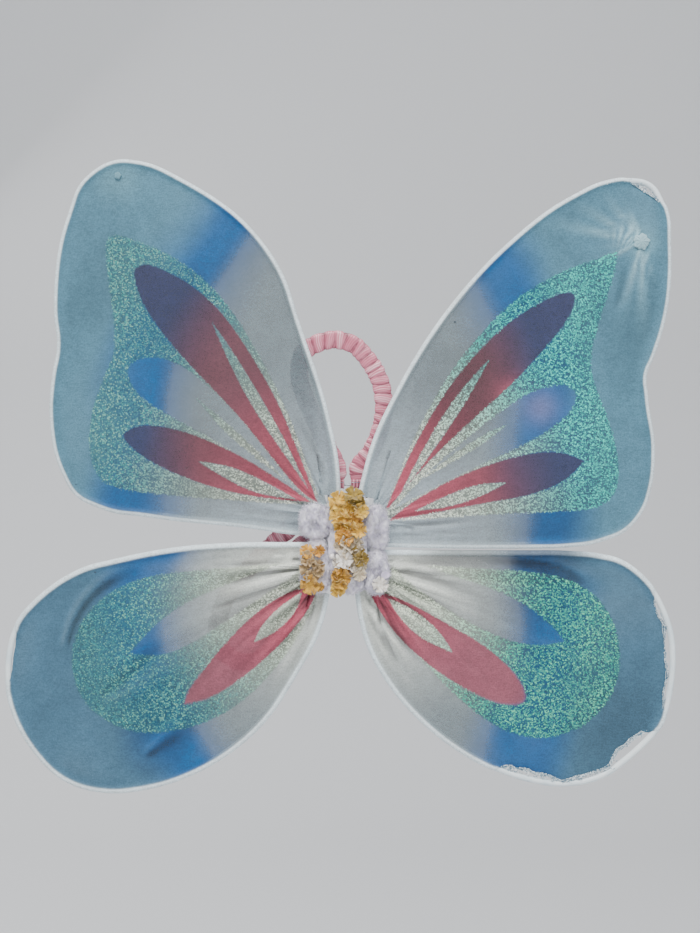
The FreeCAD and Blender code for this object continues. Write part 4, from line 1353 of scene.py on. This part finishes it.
def make_satin_petal():
    """A small cupped scrap of lavender satin tucked under the lower right flowers."""
    low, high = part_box("cream_flower_bottom_right")
    middle = np.array([(low[0] + high[0]) / 2 + 3.5 * MM, high[1] - 0.4 * MM, high[2] + 2.2 * MM])
    share = np.linspace(0.05, 1, 8)[:, None]
    angle = full_turn(36)[None, :]
    x = 3.2 * MM * share * np.cos(angle) * (1 + 0.2 * np.sin(angle))
    z = 2.6 * MM * share * np.sin(angle)
    y = -1.6 * MM * share**2 * (0.6 + 0.4 * np.cos(2 * angle))
    points, faces = two_sided(x, y, z, 0.4 * MM)
    material = two_tone("lavender_satin", 300.0, (196, 182, 214), (232, 224, 240),
                        Roughness=0.35, Sheen_Weight=0.4)
    piece = mesh_piece("lavender_satin_petal", turned(points, 12, 20) + middle, faces, material)
    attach(piece, "lower_right_wing")


def make_tip_knot(wing):
    """Nylon drawn together and tied: a puckered button with folds running into it."""
    node = wing + "_tip_knot"
    big = wing == "upper_right"
    low, high = box_of(node)
    middle = (low + high) / 2
    radius = (high[0] - low[0]) / 2
    rings, sectors = 22, 120
    share = np.linspace(0.03, 1, rings)[:, None]
    angle = full_turn(sectors)[None, :]
    pucker = 0.3 * np.sin(angle * 9 + 3 * share) + 0.16 * np.sin(angle * 17 + 1)
    tall = (1.5 if big else 0.3) * MM * (1 - share**2) ** 0.8 * (1 + pucker * share)
    r = radius * (1.2 if big else 0.5) * share * (
        1 + 0.08 * np.sin(angle * 5 + 1.3) + 0.06 * np.sin(angle * 9))
    base = high[1] + 1.1 * MM
    points = to_points(middle[0] + r * np.cos(angle), base - 1.2 * MM - tall,
                       middle[2] + r * np.sin(angle))
    skirt = points[-sectors:].copy()
    skirt[:, 1] = base
    points, faces = capped(np.vstack([points, skirt]), rings + 1, sectors,
                           [middle[0], base - 3.0 * MM, middle[2]], [middle[0], base, middle[2]],
                           flip=True)
    t = Tree(wing + "_knot_nylon")
    grain = t.noise(1300.0, 3.0, 0.6)
    dark, light = ((104, 148, 162), (176, 208, 214)) if big else ((78, 124, 142), (112, 156, 168))
    t.set(Base_Color=t.blend(grain, dark, light), Roughness=0.6, Sheen_Weight=0.3,
          Normal=t.bump(grain, 0.3, 0.0003))
    piece = mesh_piece(wing + "_gathered_knot", points, faces, t.material)
    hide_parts(node)
    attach(piece, wing + "_wing")


# ------------------------------------------------------------------------------ arm loops
def strap_line(loop):
    """The middle line of a strap, from the two long edges of its elastic."""
    ring = front_ring(loop + "_elastic")
    after = np.roll(ring, -1, axis=0)
    span = norms(after - ring)
    gap = norms((ring + after) / 2 - flat_middle(loop + "_end_eyes"))
    cut_ends = np.flatnonzero((np.abs(span - ELASTIC_WIDTH) < 0.02 * MM) & (gap < 20 * MM))
    first, second = cut_ends[0], cut_ends[-1]
    one = resample(ring[first + 1: second + 1], 500)
    two = resample(np.vstack([ring[second + 1:], ring[: first + 1]])[::-1], 1200)
    near = np.argmin(((one[:, None, :] - two[None, :, :]) ** 2).sum(axis=2), axis=1)
    return resample((one + two[near]) / 2, 620)


def make_strap(loop, body, seed):
    """A flat tube of satin, gathered in puffs between uneven marks along the strap."""
    line = strap_line(loop)
    at = lengths(line)
    side = left_of(line)
    rng = np.random.default_rng(seed)
    marks = [0.0]
    while marks[-1] < at[-1]:
        marks.append(marks[-1] + rng.uniform(4.4, 8.6) * MM)
    marks = np.array(marks) * at[-1] / marks[-1]
    tilt = rng.uniform(-3.4, 3.4, len(marks)) * MM
    columns = 40
    turn = full_turn(columns)
    across, through = squarish(np.cos(turn), 0.75), squarish(np.sin(turn), 0.75)
    puff_at = np.clip(np.searchsorted(marks, at) - 1, 0, len(tilt) - 1)
    wander = 0.5 * MM * np.sin(turn * 2 + 0.7)
    s = at[:, None] + tilt[puff_at][:, None] * across * 0.5 + wander
    k = np.clip(np.searchsorted(marks, s) - 1, 0, len(marks) - 2)
    share = np.clip((s - marks[k]) / (marks[k + 1] - marks[k]), 0, 1)
    puff = np.sin(share * math.pi) ** 0.55
    bulk = rng.uniform(0.7, 1.12, len(marks))[k]
    fine = np.sin(s / (1.55 * MM) * 2 * math.pi + 2.2 * np.sin(turn * 3) + k * 1.7)
    half_wide = 6.6 * MM * (0.84 + 0.16 * puff * bulk) + 0.1 * MM * fine
    half_deep = 2.1 * MM * (0.62 + 0.42 * puff * bulk) + 0.12 * MM * fine * puff
    close = (0.8 + 0.2 * ease(np.minimum(at, at[-1] - at), 0, 5 * MM))[:, None]
    out = across * half_wide * close
    x = line[:, :1] + side[:, :1] * out
    z = line[:, 1:] + side[:, 1:] * out
    y = middle_of(loop + "_satin_cover")[1] + through * half_deep * close
    faces = grid_faces(len(line), columns, close_columns=True)
    piece = mesh_piece(loop + "_ruched_satin", to_points(x, y, z), faces, SATIN)
    # crest is how far each gather stands up; the satin turns it into painted highlight and painted
    # shade
    paint(piece, "crest", (0.72 * puff * bulk + 0.28 * (0.5 + 0.5 * fine)).ravel())
    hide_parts(loop + "_satin_cover")
    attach(piece, body)
    return line


def make_eyes(loop, line, body):
    """Each strap end folded round its bar and sewn back on itself."""
    y0 = middle_of(loop + "_bar")[1]
    t = np.linspace(0, math.pi, 15)     # half a turn round the bar, between two straight laps
    lap_x = np.concatenate([[4.6, 3.2, 1.6], -1.45 * np.sin(t) * 0.9, [1.6, 3.2, 4.6]]) * MM
    lap_y = np.concatenate([[1.6, 1.55, 1.5], 1.45 * np.cos(t), [-1.5, -1.55, -1.6]]) * MM
    lap_x, lap_y = lap_x[:, None], lap_y[:, None]
    wide = np.linspace(-1, 1, 33)
    rows, columns = len(lap_x), len(wide)
    count, last, end_column = rows * columns, (rows - 1) * columns, columns - 1
    gather = 0.18 * MM * np.sin(wide * 13)
    faces = [*grid_faces(rows, columns), *grid_faces(rows, columns, count, flip=True)]
    for k in range(end_column):
        faces += [(k, count + k, count + k + 1, k + 1),
                  (last + k + 1, count + last + k + 1, count + last + k, last + k)]
    for p in range(0, last, columns):
        q, e = p + columns, end_column
        faces += [(p, q, count + q, count + p),
                  (count + p + e, count + q + e, q + e, p + e)]
    pile, spots = Pile(), []
    for end, way in ((0, 1), (-1, -1)):
        pull = directions(line)[end] * way
        along = np.array([-pull[1], pull[0]])
        base = line[end] - pull * 4.0 * MM
        skins = []
        for thick in (0.5 * MM + gather, -0.5 * MM):        # outer skin, then inner skin
            grow = 1 + thick / (1.5 * MM)
            u = lap_x * np.where(lap_x > 1 * MM, 1.0, grow)
            w = wide * 4.9 * MM
            skins.append(to_points(base[0] + pull[0] * u + along[0] * w, y0 + lap_y * grow,
                                   base[1] + pull[1] * u + along[1] * w))
        pile.add(np.vstack(skins), faces)
        for n in range(5):
            w = (-3.6 + 1.8 * n) * MM
            ends = [base + pull * 2.6 * MM + along * (w + half * MM) for half in (-0.6, 0.6)]
            for y in (y0 - 2.15 * MM, y0 + 2.15 * MM):
                spots.append(upright(np.array(ends), y))
    piece = pile.piece(loop + "_sewn_ends", SATIN)
    # crest here paints highlight and shade across the gathers of the sewn ends
    paint(piece, "crest", np.tile(0.5 + 0.4 * np.sin(wide * 13), 4 * rows))
    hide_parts(loop + "_end_eyes")
    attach(piece, body)
    stitches(loop + "_end_stitches", spots, body, thick=0.2, lift=0.12)


# ------------------------------------------------------------------------------- assembly
FRAYED = {      # edges with broken threads: from and to in percent, how many, reach in mm
    "upper_right": ([((80, 99), (96, 91), 90, 3.0)], 4),
    "lower_right": ([((93, 80), (96, 35), 90, 1.8), ((91, 23), (79, 12), 90, 3.0),
                     ((79, 12), (66, 7), 90, 3.4), ((66, 7), (44, 10), 150, 3.6),
                     ((44, 10), (24, 30), 60, 0.6)], 3),
}
for wing in WINGS:
    line, outward, area = rim_line(wing)
    line3 = upright(line, middle_of(wing + "_wing_sock")[1])
    sock, slip = make_sock(wing, line, outward)
    bend_with(sock)
    sleeve = mesh_piece(wing + "_white_sleeve", *tube(line3, SLEEVE_RADIUS, sides=20), SLEEVING)
    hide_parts(wing + "_wing_sleeve")
    bend_with(sleeve)
    wire = mesh_piece(wing + "_spring_wire", *tube(line3, WIRE_RADIUS, sides=10), STEEL)
    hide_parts(wing + "_wing_wire")
    bend_with(wire)
    make_binding(wing, line)
    make_snags(wing)
    make_plush(wing + "_fleece_tuft", wing + "_plush_tuft", wing + "_wing",
               seed=20 + len(wing), strands=4200)
    if wing in FRAYED:
        make_frayed(wing, line, outward, slip, *FRAYED[wing])
for wing in KNOTS:
    make_tip_knot(wing)

make_plush("hub_fleece", "hub_plush_pad", "hub", seed=40, strands=7000)
make_back_pad()
make_felt_backing()
make_core_wrap()
for seed, node in enumerate(FLOWERS, start=100):
    make_flower(node, seed)
make_tucked_petals()
make_pearl()
make_satin_petal()
for loop, body, seed in (("upper_loop", "upper_strap", 7), ("lower_loop", "lower_strap", 8)):
    make_eyes(loop, make_strap(loop, body, seed), body)
for node, material in (("hub_wire_bundle", STEEL), ("upper_loop_bar", STEEL),
                       ("lower_loop_bar", STEEL), ("upper_loop_elastic", ELASTIC),
                       ("lower_loop_elastic", ELASTIC)):
    slots = NODES[node].data.materials
    slots.clear()
    slots.append(material)


# ---------------------------------------------------------------------- stage and camera
FLOOR_Z = -0.75
CAMERA_PLACE = (0.0014, -0.907, 0.0507)     # straight in front of the wings' middle
LENS, FILM_WIDTH = 50, 36                   # mm


def bend_up(wall, bend, height):
    """From the middle outwards: a level floor that bends up into a wall."""
    turn = np.linspace(0, math.pi / 2, 24)
    run = [(wall - bend + bend * math.sin(a), bend * (1 - math.cos(a))) for a in turn]
    return run + [(wall, height)]


def make_stage():
    """A pale floor that sweeps up into a backdrop behind the wings and far walls all round."""
    back = bend_up(wall=2.9, bend=1.1, height=8.75)
    far = bend_up(wall=14.0, bend=4.0, height=6.0)
    rows = [(-y, rise) for y, rise in reversed(far)] + back
    columns = [(-x, rise) for x, rise in reversed(far)] + far
    points = [(x, y, FLOOR_Z + max(one, other)) for y, one in rows for x, other in columns]
    t = Tree("pale_floor")
    t.set(Base_Color=(214, 215, 217), Roughness=0.9)
    stage = mesh_piece("floor", points, grid_faces(len(rows), len(columns)), t.material)


def add_light(name, place, aim, size, power, tint):
    lamp = bpy.data.lights.new(name, "AREA")
    lamp.shape = "RECTANGLE"
    lamp.size, lamp.size_y = size
    lamp.energy = power
    lamp.color = tint
    light = new_object(name, lamp)
    light.location = place
    way = Vector(aim) - Vector(place)
    light.rotation_mode = "QUATERNION"
    light.rotation_quaternion = way.to_track_quat("-Z", "Y")


def make_camera():
    camera = new_object("camera", bpy.data.cameras.new("camera"))
    camera.data.lens = LENS
    camera.data.sensor_width = FILM_WIDTH
    camera.location = CAMERA_PLACE
    camera.rotation_euler = (math.radians(90), 0, 0)
    camera.data.clip_start, camera.data.clip_end = 0.02, 60
    bpy.context.scene.camera = camera


make_stage()
make_camera()
add_light("key", place=(-0.4, -1.5, 2.1), aim=(0, 0, 0.05), size=(1.8, 1.1), power=100,
          tint=(1.0, 0.99, 0.97))
add_light("fill", place=(1.9, -2.0, 0.3), aim=(0, 0, 0), size=(1.8, 1.8), power=22,
          tint=(0.95, 0.98, 1.0))
add_light("back", place=(-1.6, 2.0, 1.5), aim=(0, 0, 0), size=(1.6, 1.6), power=30,
          tint=(1.0, 0.99, 0.97))
world = bpy.data.worlds.new("soft_room")
world.use_nodes = True
background = world.node_tree.nodes["Background"]
background.inputs["Color"].default_value = (0.93, 0.96, 1.0, 1.0)
background.inputs["Strength"].default_value = 0.8
bpy.context.scene.world = world
